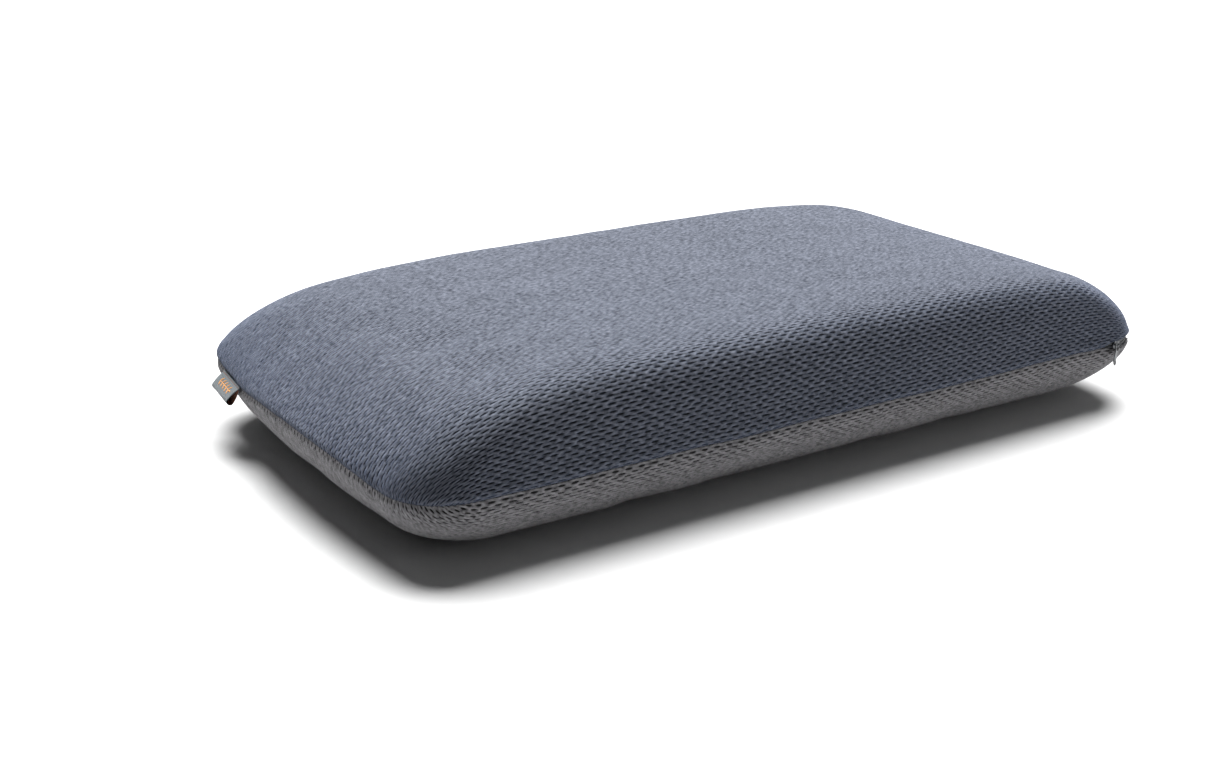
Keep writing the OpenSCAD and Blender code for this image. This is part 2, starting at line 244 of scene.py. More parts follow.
@dataclass(frozen=True)
class Finish:
    """A material in two shades of one colour, which a pattern mixes."""

    name: str
    shade: str
    light: str

    def begin(self) -> tuple[bpy.types.Material, bpy.types.NodeTree]:
        """Makes the material, with an empty node tree."""
        material = bpy.data.materials.new(self.name)
        material.use_nodes = True
        material.node_tree.nodes.clear()
        return material, material.node_tree

    def close(
        self,
        tree: bpy.types.NodeTree,
        share: object,
        surface: dict,
        relief: Optional[tuple[object, float, float]] = None,
        over: Optional[tuple[object, str]] = None,
    ) -> None:
        """Mixes the colour, and adds the relief, the shader and the output.

        Args:
            tree: The material's node tree.
            share: Share of the lighter shade.
            surface: The shader's other inputs.
            relief: What gives the relief's height, its strength and its depth in millimetres.
            over: Share of a third colour that lies over both shades, and the colour.
        """
        shades = {0: share, 6: linear_colour(self.shade), 7: linear_colour(self.light)}
        colour = add_node(tree, "Mix", shades, data_type="RGBA").outputs[2]
        if over:
            third = {0: over[0], 6: colour, 7: linear_colour(over[1])}
            colour = add_node(tree, "Mix", third, data_type="RGBA").outputs[2]
        inputs = {"Base Color": colour, **surface}
        if relief:
            height, strength, depth = relief
            inputs["Normal"] = add_node(
                tree, "Bump", {"Height": height, "Strength": strength, "Distance": depth * MM}
            )
        add_node(tree, "OutputMaterial", {"Surface": add_node(tree, "BsdfPrincipled", inputs)})


@dataclass(frozen=True)
class KnitPattern:
    """Lattice of the spacer mesh: rows of long openings, each row moved half a step along."""

    pitch: float = 10.5
    row: float = 2.9
    opening_half: float = 2.8
    opening_low: float = 0.7


@dataclass(frozen=True)
class SpacerKnit(Finish):
    """Polyester spacer mesh, warp-knitted from melange yarn on a double-bed machine.

    The face shows soft ribs of heathered yarn between rows of long, narrow openings, which are painted
    near black as painted shade inside the holes; the ribs' crests are painted lighter than the hollows as
    painted shading.
    Fine fibre ends catch a grazing light, so it has a pale sheen. The yarn's real flecks are about
    1 mm long, too fine to show, so they are drawn 4.2 x 1.9 mm.
    """

    # Colour of the openings: near black, as painted shade inside the holes.
    depth: str
    sheen: float
    sheen_tint: str
    pattern: KnitPattern = KnitPattern()
    stitches_along: float = 8.0
    courses_per_row: float = 3.0
    fleck_length: float = 4.2
    fleck_width: float = 1.9
    cloud_scale: float = 0.09
    fleck_tone: float = 0.9
    cloud_tone: float = 0.1
    # Strength of the painted shading that makes the rows' crests lighter than their hollows.
    crest_shading_tone: float = 0.2
    darkest_tone: float = 0.31
    lightest_tone: float = 0.79
    loop_height: float = 0.22
    fleck_height: float = 0.2

    def build(self) -> bpy.types.Material:
        """Makes the material, which follows the piece's "knit" map, in steps of the lattice."""
        material, tree = self.begin()
        place = add_node(tree, "UVMap", uv_map="knit")
        axes = add_node(tree, "SeparateXYZ", {0: place})
        along, across = axes.outputs[0], axes.outputs[1]
        row = add_node(tree, "Math", {0: across}, operation="ROUND")
        to_row = add_node(tree, "Math", {0: across, 1: row}, operation="SUBTRACT")
        opening = self.add_openings(tree, along, row, to_row)
        fleck_scale = (self.pattern.pitch / self.fleck_length, self.pattern.row / self.fleck_width, 1)
        fleck_place = add_node(tree, "Mapping", {"Vector": place, "Scale": fleck_scale})
        flecks = add_node(tree, "TexNoise", {"Vector": fleck_place, "Scale": 1.0, "Detail": 1.0})
        cloud = add_node(tree, "TexNoise", {"Vector": place, "Scale": self.cloud_scale, "Detail": 2.0})
        heather = add_node(tree, "Math", {0: flecks, 1: self.fleck_tone}, operation="MULTIPLY")
        clouded = {0: cloud, 1: self.cloud_tone, 2: heather}
        heather = add_node(tree, "Math", clouded, operation="MULTIPLY_ADD")
        # Painted shading: the rows' crests stand between the openings and are painted lighter than the
        # hollows, as the light falls on the ribs.
        crest_shading_share = add_node(tree, "Math", {0: to_row}, operation="ABSOLUTE")
        crest_shaded = {0: crest_shading_share, 1: self.crest_shading_tone, 2: heather}
        tone = add_node(tree, "Math", crest_shaded, operation="MULTIPLY_ADD")
        share = add_node(tree, "MapRange", {0: tone, 1: self.darkest_tone, 2: self.lightest_tone})
        waves = []
        for axis, count in ((along, self.stitches_along), (across, self.courses_per_row)):
            turn = add_node(tree, "Math", {0: axis, 1: math.tau * count}, operation="MULTIPLY")
            waves.append(add_node(tree, "Math", {0: turn}, operation="SINE"))
        weave = add_node(tree, "Math", {0: waves[0], 1: waves[1]}, operation="MULTIPLY")
        loops = add_node(tree, "Math", {0: weave, 1: self.loop_height}, operation="MULTIPLY")
        ground = add_node(tree, "Math", {0: loops, 1: opening}, operation="SUBTRACT")
        raised = {0: flecks, 1: self.fleck_height, 2: ground}
        height = add_node(tree, "Math", raised, operation="MULTIPLY_ADD")
        surface = {
            "Roughness": 0.88,
            "Specular IOR Level": 0.25,
            "Sheen Weight": self.sheen,
            "Sheen Roughness": 0.42,
            "Sheen Tint": linear_colour(self.sheen_tint),
        }
        # The openings' mask mixes in the depth colour as painted shade, and also sinks them in the relief.
        self.close(tree, share, surface, relief=(height, 0.9, 0.9), over=(opening, self.depth))
        return material

    def add_openings(
        self, tree: bpy.types.NodeTree, along: object, row: object, to_row: object
    ) -> bpy.types.Node:
        """Adds the nodes that draw the lattice's openings.

        Args:
            tree: The material's node tree.
            along: Place along the rows, in steps of the lattice.
            row: Number of the nearest row.
            to_row: Place across that row.

        Returns:
            The node that gives 1 in an opening and 0 on the yarn, with a soft edge.
        """
        pattern = self.pattern
        shift = add_node(tree, "Math", {0: row, 1: 0.5}, operation="MULTIPLY")
        shifted = add_node(tree, "Math", {0: along, 1: shift}, operation="SUBTRACT")
        nearest = add_node(tree, "Math", {0: shifted}, operation="ROUND")
        to_middle = add_node(tree, "Math", {0: shifted, 1: nearest}, operation="SUBTRACT")
        reaches = []
        for axis, reach in (
            (to_middle, pattern.pitch / pattern.opening_half),
            (to_row, pattern.row / pattern.opening_low),
        ):
            reaches.append(add_node(tree, "Math", {0: axis, 1: reach}, operation="MULTIPLY"))
        place = add_node(tree, "CombineXYZ", {0: reaches[0], 1: reaches[1]})
        distance = add_node(tree, "VectorMath", {0: place}, operation="LENGTH").outputs[1]
        # The soft edge spreads the openings' painted shade a little past their rims.
        edge = {0: distance, 1: 0.8, 2: 1.25, 3: 1.0, 4: 0.0}
        return add_node(tree, "MapRange", edge, interpolation_type="SMOOTHSTEP")


# Bands of a wave texture in one unit at a scale of 1.
WAVES_PER_UNIT = 20 / math.tau


@dataclass(frozen=True)
class WovenRibbon(Finish):
    """Narrow woven polyester, such as zip tape and tag ribbon: matt, with fine ribs across it.

    A double-faced ribbon has another colour inside, where the piece's "inner" attribute is 1.
    """

    rib: float
    ribs_along: str = "Z"
    back: str = ""
    roughness: float = 0.75
    sheen: float = 0.15

    def build(self) -> bpy.types.Material:
        """Makes the material, with ribs at their spacing in millimetres on the object."""
        material, tree = self.begin()
        place = add_node(tree, "TexCoord").outputs["Object"]
        scale = 1 / (self.rib * MM)
        bands = {"Vector": place, "Scale": scale / WAVES_PER_UNIT, "Distortion": 0.6}
        ribs = add_node(tree, "TexWave", bands, bands_direction=self.ribs_along).outputs["Fac"]
        clouds = add_node(tree, "TexNoise", {"Vector": place, "Scale": scale / 6})
        cloud_tone = add_node(tree, "Math", {0: clouds, 1: 0.4}, operation="MULTIPLY")
        share = add_node(tree, "Math", {0: ribs, 1: 0.6, 2: cloud_tone}, operation="MULTIPLY_ADD")
        inner = add_node(tree, "Attribute", attribute_name="inner").outputs["Fac"]
        surface = {"Roughness": self.roughness, "Sheen Weight": self.sheen}
        self.close(tree, share, surface, relief=(ribs, 0.5, 0.2), over=(inner, self.back or self.shade))
        return material


@dataclass(frozen=True)
class CastMetal(Finish):
    """Die-cast zinc alloy with a dark gunmetal plating, tumbled to a fine grain.

    The plating has worn in patches a few millimetres wide, which look lighter.
    """

    grain: float = 0.35
    patch: float = 3.0

    def build(self) -> bpy.types.Material:
        """Makes the material, with its grain and patches at their sizes in millimetres."""
        material, tree = self.begin()
        place = add_node(tree, "TexCoord").outputs["Object"]
        grain_scale, patch_scale = 1 / (self.grain * MM), 1 / (self.patch * MM)
        grain = add_node(tree, "TexNoise", {"Vector": place, "Scale": grain_scale, "Detail": 3.0})
        wear = add_node(tree, "TexNoise", {"Vector": place, "Scale": patch_scale, "Detail": 2.0})
        share = add_node(tree, "MapRange", {0: wear, 1: 0.4, 2: 0.65})
        rough = add_node(tree, "MapRange", {0: grain, 1: 0.2, 2: 0.8, 3: 0.28, 4: 0.45})
        self.close(tree, share, {"Metallic": 1.0, "Roughness": rough}, relief=(grain, 0.25, 0.1))
        return material


@dataclass(frozen=True)
class SpunThread(Finish):
    """Spun or drawn polyester or rayon: sewing thread, embroidery yarn and coil monofilament.

    Its fibres look mottled close up, with a soft gloss.
    """

    twist: float
    roughness: float

    def build(self) -> bpy.types.Material:
        """Makes the material, with its twist at its spacing in millimetres."""
        material, tree = self.begin()
        place = add_node(tree, "TexCoord").outputs["Object"]
        scale = 1 / (self.twist * MM)
        fibres = add_node(tree, "TexNoise", {"Vector": place, "Scale": scale, "Detail": 2.0})
        surface = {"Roughness": self.roughness, "Sheen Weight": 0.2}
        self.close(tree, fibres, surface, relief=(fibres, 0.4, 0.1))
        return material


@dataclass(frozen=True)
class MemoryFoam(Finish):
    """Moulded viscoelastic polyurethane foam: matt cream, with a skin of fine open cells."""

    name: str = "memory foam"
    shade: str = "#d9d0ae"
    light: str = "#efe9d2"
    cell: float = 1.2

    def build(self) -> bpy.types.Material:
        """Makes the material, with its cells at their size in millimetres."""
        material, tree = self.begin()
        place = add_node(tree, "TexCoord").outputs["Object"]
        cells = add_node(tree, "TexVoronoi", {"Vector": place, "Scale": 1 / (self.cell * MM)})
        patches = add_node(tree, "TexNoise", {"Vector": place, "Scale": 9.0})
        cell_tone = add_node(tree, "Math", {0: cells, 1: -0.5, 2: 1.0}, operation="MULTIPLY_ADD")
        patched = {0: patches, 1: -0.5, 2: cell_tone}
        share = add_node(tree, "Math", patched, operation="MULTIPLY_ADD")
        self.close(tree, share, {"Roughness": 0.95}, relief=(cells, 0.5, 0.5))
        return material


@dataclass(frozen=True)
class SatinLabel(Finish):
    """White polyester satin with a soft gloss, for a washing label."""

    name: str = "polyester satin"
    shade: str = "#d4d7d8"
    light: str = "#f0f2f2"
    float_length: float = 1.0

    def build(self) -> bpy.types.Material:
        """Makes the material, with its weave's floats at their length in millimetres."""
        material, tree = self.begin()
        place = add_node(tree, "TexCoord").outputs["Object"]
        weave = add_node(tree, "TexNoise", {"Vector": place, "Scale": 1 / (self.float_length * MM)})
        self.close(tree, weave, {"Roughness": 0.35, "Sheen Weight": 0.3}, relief=(weave, 0.3, 0.1))
        return material


@dataclass(frozen=True)
class PaintedFloor(Finish):
    """Matt, pale grey paint on a smooth board, which looks white in the strong light."""

    name: str = "matt pale grey paint"
    shade: str = "#c6c6c6"
    light: str = "#cccccc"
    mark: float = 20.0

    def build(self) -> bpy.types.Material:
        """Makes the material, with faint roller marks at their spacing in millimetres."""
        material, tree = self.begin()
        place = add_node(tree, "TexCoord").outputs["Object"]
        marks = add_node(tree, "TexNoise", {"Vector": place, "Scale": 1 / (self.mark * MM)})
        self.close(tree, marks, {"Roughness": 0.8})
        return material


# ---------------------------------------------------------------- the pad's form


class Side(Enum):
    """Which of the two panels a form is for."""

    UPPER = 1
    LOWER = -1


@dataclass(frozen=True)
class Shoulder:
    """Rounding between a panel's edge and its flat: its width and how square it is."""

    width: float
    power: float

    def inset(self, share: float) -> float:
        """Width used up at a share of the height."""
        return self.width * (1 - max(1 - share**self.power, 0.0) ** (1 / self.power))


@dataclass(frozen=True)
class Ring:
    """One closed line round a panel, at a share of its height."""

    share: float
    half_length: float
    half_width: float
    middle: float
    radius: float
    bow: float
    spare_end: float
    spare_front: float
    spare_back: float
    edge: float

    @property
    def reach(self) -> float:
        """Half the angle that the bowed end takes up."""
        return math.asin((self.half_width - self.radius) / (self.bow - self.radius))

    @property
    def hub(self) -> tuple[float, float]:
        """Centre of the back right corner, from the ring's middle."""
        along = self.half_length - self.bow + (self.bow - self.radius) * math.cos(self.reach)
        return along, self.half_width - self.radius


@dataclass(frozen=True)
class PadForm:
    """The filled pad: a bowed, rounded block that droops at its ends, in two panels."""

    length: float
    width: float
    height: float
    seam: float
    corner: float = 50.0
    corner_shrink: float = 0.2
    bow: float = 1200.0
    droop: float = 32.0
    droop_power: float = 4.2
    band: float = 4.0
    front: Shoulder = Shoulder(28.0, 2.75)
    back: Shoulder = Shoulder(84.0, 1.75)
    end: Shoulder = Shoulder(70.0, 1.75)
    under: Shoulder = Shoulder(66.0, 1.55)
    under_cut: float = 2.0
    end_rise: float = 5.5
    rise_place: float = -32.0
    rise_length: float = 234.0
    stray: float = 1.1
    stray_length: float = 60.0
    calm_length: float = 30.0
    zip_closed: float = 9.0
    zip_open: float = 4.0
    cell: float = 8.0
    shoulder_rings: int = 14
    crown_rings: int = 5

    @classmethod
    def from_cad(cls) -> "PadForm":
        """Takes the pad's size and the seam's height from the CAD's two panels, in millimetres."""
        (left, front, _), (right, back, top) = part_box("cover_top")
        lower_edge, upper_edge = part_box("cover_bottom")[1][2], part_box("cover_top")[0][2]
        return cls(
            length=round((right - left) / MM, 2),
            width=round((back - front) / MM, 2),
            height=round(top / MM, 2),
            seam=round((lower_edge + upper_edge) / 2 / MM, 2),
        )

    def top(self, along: float) -> float:
        """Height of the top at a place along the pad."""
        return self.height - self.droop * abs(along / (self.length / 2)) ** self.droop_power

    def shoulders(self, side: Side) -> tuple[Shoulder, Shoulder, Shoulder]:
        """The front, back and end shoulder of a panel."""
        if side is Side.UPPER:
            return self.front, self.back, self.end
        return self.under, self.under, self.under

    def level(self, side: Side, share: float, along: float) -> float:
        """Height of a panel at a share of its rise.

        Args:
            side: Upper or lower panel.
            share: 0 at the seam band, 1 at the flat.
            along: Place along the pad.

        Returns:
            The height in millimetres.
        """
        base = self.seam + side.value * self.band
        goal = self.top(along) if side is Side.UPPER else -self.under_cut
        return base + share * (goal - base)

    def ring(self, side: Side, share: float, depth: float, spare: Sequence[float], edge: float) -> Ring:
        """Ring at a share of the height.

        Args:
            side: Upper or lower panel.
            share: 0 at the seam band, 1 at the flat.
            depth: How far inside the outer face it lies.
            spare: Cloth beyond the plan at the end, front and back.
            edge: Cloth between the ring and the panel's edge.

        Returns:
            The ring.
        """
        front, back, end = (shoulder.inset(share) for shoulder in self.shoulders(side))
        tight = self.shoulders(side)[0]
        return Ring(
            share=share,
            half_length=self.length / 2 - depth - end,
            half_width=(self.width - front - back) / 2 - depth,
            middle=(front - back) / 2,
            radius=(self.corner - depth) * (1 - self.corner_shrink * tight.inset(share) / tight.width),
            bow=self.bow - depth,
            spare_end=spare[0],
            spare_front=spare[1],
            spare_back=spare[2],
            edge=edge,
        )

    def rings(self, side: Side, depth: float) -> list[Ring]:
        """All rings of a panel, from the middle of its flat to its edge.

        Args:
            side: Upper or lower panel.
            depth: How far inside the outer face the form lies.

        Returns:
            The rings, evenly spaced over the cloth.
        """
        steps = 400
        shares = [1 - step / steps for step in range(steps + 1)]
        front, back, end = self.shoulders(side)
        shoulders = (end, front, back)
        runs = []
        for shoulder, outermost in zip(shoulders, (self.length / 2, 0.0, 0.0)):
            line = []
            for share in shares:
                along = max(outermost - shoulder.inset(share), 0.0)
                line.append((shoulder.width - shoulder.inset(share), self.level(side, share, along)))
            lengths = [0.0]
            for start, stop in zip(line, line[1:]):
                lengths.append(lengths[-1] + math.dist(start, stop))
            runs.append(lengths)
        total = [sum(run[step] for run in runs) / 3 for step in range(steps + 1)]
        rings = []
        flat = self.ring(side, 1.0, depth, (0, 0, 0), total[-1] + self.band)
        for count in range(1, self.crown_rings + 1):
            shrink = flat.radius * (1 - count / self.crown_rings)
            rings.append(
                replace(
                    flat,
                    half_length=flat.half_length - shrink,
                    half_width=flat.half_width - shrink,
                    radius=max(flat.radius - shrink, 0.01),
                    bow=flat.bow - shrink,
                    edge=flat.edge + shrink,
                )
            )
        for count in range(1, self.shoulder_rings):
            goal = total[-1] * count / (self.shoulder_rings - 1)
            step = min(range(steps + 1), key=lambda k: abs(total[k] - goal))
            share = shares[step]
            plain = [shoulder.width - shoulder.inset(share) for shoulder in shoulders]
            spare = [run[step] - reach for run, reach in zip(runs, plain)]
            rings.append(self.ring(side, share, depth, spare, total[-1] - total[step] + self.band))
        last = rings[-1]
        spare = [last.spare_end + self.band, last.spare_front + self.band, last.spare_back + self.band]
        rings.append(self.ring(side, 0.0, depth, spare, 0.0))
        return rings

    def zip_share(self, x: float) -> float:
        """How far the panels' edges stand open at a place on the seam.

        Args:
            x: Place along the pad.

        Returns:
            1 along the zip, 0 elsewhere, with a short slope between.
        """
        hub_x = self.ring(Side.UPPER, 0.0, 0.0, (0, 0, 0), 0.0).hub[0]
        return smooth_step(x, hub_x - self.zip_closed, hub_x - self.zip_open)

    def wander(self, x: float, y: float) -> float:
        """How far the sewn seam strays up or down at a place, in millimetres."""
        spot = Vector((x / self.stray_length, y / self.stray_length, 4.0))
        stray = self.stray * noise.noise(spot)
        along = (y - self.rise_place) / self.rise_length
        if x < 0 and abs(along) < 0.5:
            stray += self.end_rise * math.cos(math.pi * along)
        return stray * (1 - self.zip_share(x + self.calm_length))

    def panel(self, side: Side, depth: float = 0.0, rise: float = 0.0) -> "PanelGrid":
        """Works out a panel as a grid of points.

        Args:
            side: Upper or lower panel.
            depth: How far inside the outer face its sides lie.
            rise: How far inside the outer face its flat lies.

        Returns:
            The grid, with its places on the cloth laid flat.
        """
        rings = self.rings(side, depth)
        hub_x, hub_y = rings[self.crown_rings - 1].hub
        inner_x = round(hub_x / self.cell)
        inner_y = round(hub_y / self.cell)
        extent = len(rings)
        columns = 2 * (inner_x + extent)
        rows = 2 * (inner_y + extent)
        shape = bmesh.new()
        bmesh.ops.create_grid(shape, x_segments=columns, y_segments=rows, size=1.0)
        solid, flat, edge = [], [], []
        for vert in shape.verts:
            i = round((vert.co.x + 1) / 2 * columns) - columns // 2
            j = round((vert.co.y + 1) / 2 * rows) - rows // 2
            x, y, u, v, ring = self.grid_place(i, j, inner_x, inner_y, rings)
            z = self.level(side, ring.share, x)
            if ring.edge == 0.0:
                opening = self.zip_share(x)
                gap = SEAM_GAP_HALF
                if depth == 0:
                    gap += opening * (ZIP_OPENING_HALF - SEAM_GAP_HALF)
                z = self.seam + side.value * gap
            # The seam's straying fades out quickly with the height above and below it.
            z += self.wander(x, y) * (1 - ring.share) ** 3
            z -= side.value * rise * smooth_step(ring.share, 0.0, 1.0)
            if side is Side.LOWER:
                z = max(z, rise)
            solid.append((x, y, z))
            flat.append((u, v, 0.0))
            edge.append((ring.edge, 0.0, 0.0))
        shape.verts.index_update()
        faces = [[vert.index for vert in face.verts] for face in shape.faces]
        shape.free()
        return PanelGrid(side, np.array(solid), np.array(flat), np.array(edge), faces)

    def grid_place(
        self, i: int, j: int, inner_x: int, inner_y: int, rings: Sequence[Ring]
    ) -> tuple[float, float, float, float, Ring]:
        """Places a grid point on its ring.

        Args:
            i: Column, counted from the middle.
            j: Row, counted from the middle.
            inner_x: Columns from the middle to the corner's centre.
            inner_y: Rows from the middle to the corner's centre.
            rings: The panel's rings.

        Returns:
            Its place along and across the pad, the same on the flat cloth, and its ring.
        """
        beyond_x = abs(i) - inner_x
        beyond_y = abs(j) - inner_y
        number = max(beyond_x, beyond_y, 0)
        ring = rings[max(number - 1, 0)]
        sign_x = 1 if i >= 0 else -1
        sign_y = 1 if j >= 0 else -1
        hub_x, hub_y = ring.hub
        if number == 0:
            x = i / inner_x * hub_x
            y = ring.middle + j / inner_y * hub_y
            return x, y, x, y, ring
        spare_side = ring.spare_back if j > 0 else ring.spare_front
        if beyond_x <= 0:
            x = i / inner_x * hub_x
            y = ring.middle + sign_y * ring.half_width
            return x, y, x, y + sign_y * spare_side, ring
        if beyond_y <= 0:
            angle = j / inner_y * ring.reach
            x = sign_x * (ring.half_length - ring.bow + ring.bow * math.cos(angle))
            y = ring.middle + ring.bow * math.sin(angle)
            return x, y, x + sign_x * ring.spare_end, y, ring
        if beyond_y == number:
            turn = 1 - 0.5 * beyond_x / number
        else:
            turn = 0.5 * beyond_y / number
        angle = ring.reach + turn * (math.pi / 2 - ring.reach)
        x = sign_x * (hub_x + ring.radius * math.cos(angle))
        y = ring.middle + sign_y * (hub_y + ring.radius * math.sin(angle))
        u = x + sign_x * math.cos(turn * math.pi / 2) * ring.spare_end
        v = y + sign_y * math.sin(turn * math.pi / 2) * spare_side
        return x, y, u, v, ring


@dataclass
class PanelGrid:
    """A panel as a grid of points, with the same grid on the cloth laid flat."""

    side: Side
    solid: np.ndarray
    flat: np.ndarray
    edge: np.ndarray
    faces: list[list[int]]

    def to_mesh(self, name: str, points: np.ndarray) -> bpy.types.Mesh:
        """Makes a mesh of the grid.

        Args:
            name: Name of the mesh.
            points: Where its points are.

        Returns:
            The mesh, in millimetres.
        """
        mesh = bpy.data.meshes.new(name)
        mesh.from_pydata([tuple(point) for point in points], [], self.faces)
        return mesh

    def refined(self, points: np.ndarray, levels: int) -> tuple[np.ndarray, list[list[int]]]:
        """Subdivides the grid with its points at given places.

        Args:
            points: Where its points are.
            levels: Number of subdivisions.

        Returns:
            The finer points and faces.
        """
        piece = bpy.data.objects.new("refine", self.to_mesh("refine", points))
        bpy.context.scene.collection.objects.link(piece)
        finer = piece.modifiers.new("finer", "SUBSURF")
        finer.levels = levels
        finer.render_levels = levels
        finer.boundary_smooth = "ALL"
        graph = bpy.context.evaluated_depsgraph_get()
        mesh = bpy.data.meshes.new_from_object(piece.evaluated_get(graph))
        places = np.zeros(len(mesh.vertices) * 3)
        mesh.vertices.foreach_get("co", places)
        faces = [list(face.vertices) for face in mesh.polygons]
        bpy.data.objects.remove(piece)
        bpy.data.meshes.remove(mesh)
        return places.reshape(-1, 3), faces


@dataclass
class StuffedCover:
    """Both panels as stuffed cloth: sewn at the seam, and swollen by the foam's pressure."""

    form: PadForm
    pressure: float = 4.0
    slack: float = 0.004
    start_inset: float = 1.5
    inset_width: float = 30.0
    held_width: float = 5.0
    on_floor: float = 0.01
    cap: float = 1.6
    frames: int = 20
    panels: dict[Side, PanelGrid] = field(default_factory=dict)

    def build(self) -> None:
        """Works out both panels and lets the cloth settle."""
        for side in Side:
            self.panels[side] = self.form.panel(side)
        self.settle()

    def settle(self) -> None:
        """Simulates the cloth, and moves the panels' points to where it comes to rest."""
        upper, lower = self.panels[Side.UPPER], self.panels[Side.LOWER]
        points = np.vstack([upper.solid, lower.solid])
        edges = np.vstack([upper.edge, lower.edge])[:, 0]
        shift = len(upper.solid)
        faces = upper.faces + [[index + shift for index in face[::-1]] for face in lower.faces]
        middle = np.array([0.0, 0.0, self.form.seam])
        inward = middle - points
        inward /= np.linalg.norm(inward, axis=1)[:, None]
        inset = self.start_inset * np.minimum(edges / self.inset_width, 1.0)
        start = points + inward * inset[:, None]
        mesh = bpy.data.meshes.new("cloth")
        mesh.from_pydata([tuple(point) for point in start * MM], [], faces)
        piece = bpy.data.objects.new("cloth", mesh)
        scene = bpy.context.scene
        scene.collection.objects.link(piece)
        held = piece.vertex_groups.new(name="seam")
        for index, edge in enumerate(edges):
            resting = points[index][2] <= self.on_floor
            if edge < self.held_width or resting:
                held.add([index], 1.0, "REPLACE")
        cloth = piece.modifiers.new("cloth", "CLOTH")
        settings = cloth.settings
        settings.quality = 6
        settings.mass = 0.3
        settings.tension_stiffness = 25.0
        settings.compression_stiffness = 25.0
        settings.shear_stiffness = 10.0
        settings.bending_stiffness = 1.5
        settings.use_pressure = True
        settings.uniform_pressure_force = self.pressure
        settings.shrink_min = -self.slack
        settings.vertex_group_mass = "seam"
        settings.effector_weights.gravity = 0.0
        cloth.point_cache.frame_start = 1
        cloth.point_cache.frame_end = self.frames
        for number in range(1, self.frames + 1):
            scene.frame_set(number)
        graph = bpy.context.evaluated_depsgraph_get()
        settled = piece.evaluated_get(graph).data
        places = np.zeros(len(settled.vertices) * 3)
        settled.vertices.foreach_get("co", places)
        places = places.reshape(-1, 3) / MM
        moved = places - points
        distance = np.linalg.norm(moved, axis=1)
        log.info("cloth settled: mean move %.2f mm, most %.2f mm", distance.mean(), distance.max())
        limit = self.cap * np.tanh(distance / self.cap) / np.maximum(distance, 1e-6)
        result = points + moved * limit[:, None]
        upper.solid = result[:shift]
        lower.solid = result[shift:]
        lower.solid[:, 2] = np.maximum(lower.solid[:, 2], 0.0)
        bpy.data.objects.remove(piece)
        bpy.data.meshes.remove(mesh)
        scene.frame_set(1)


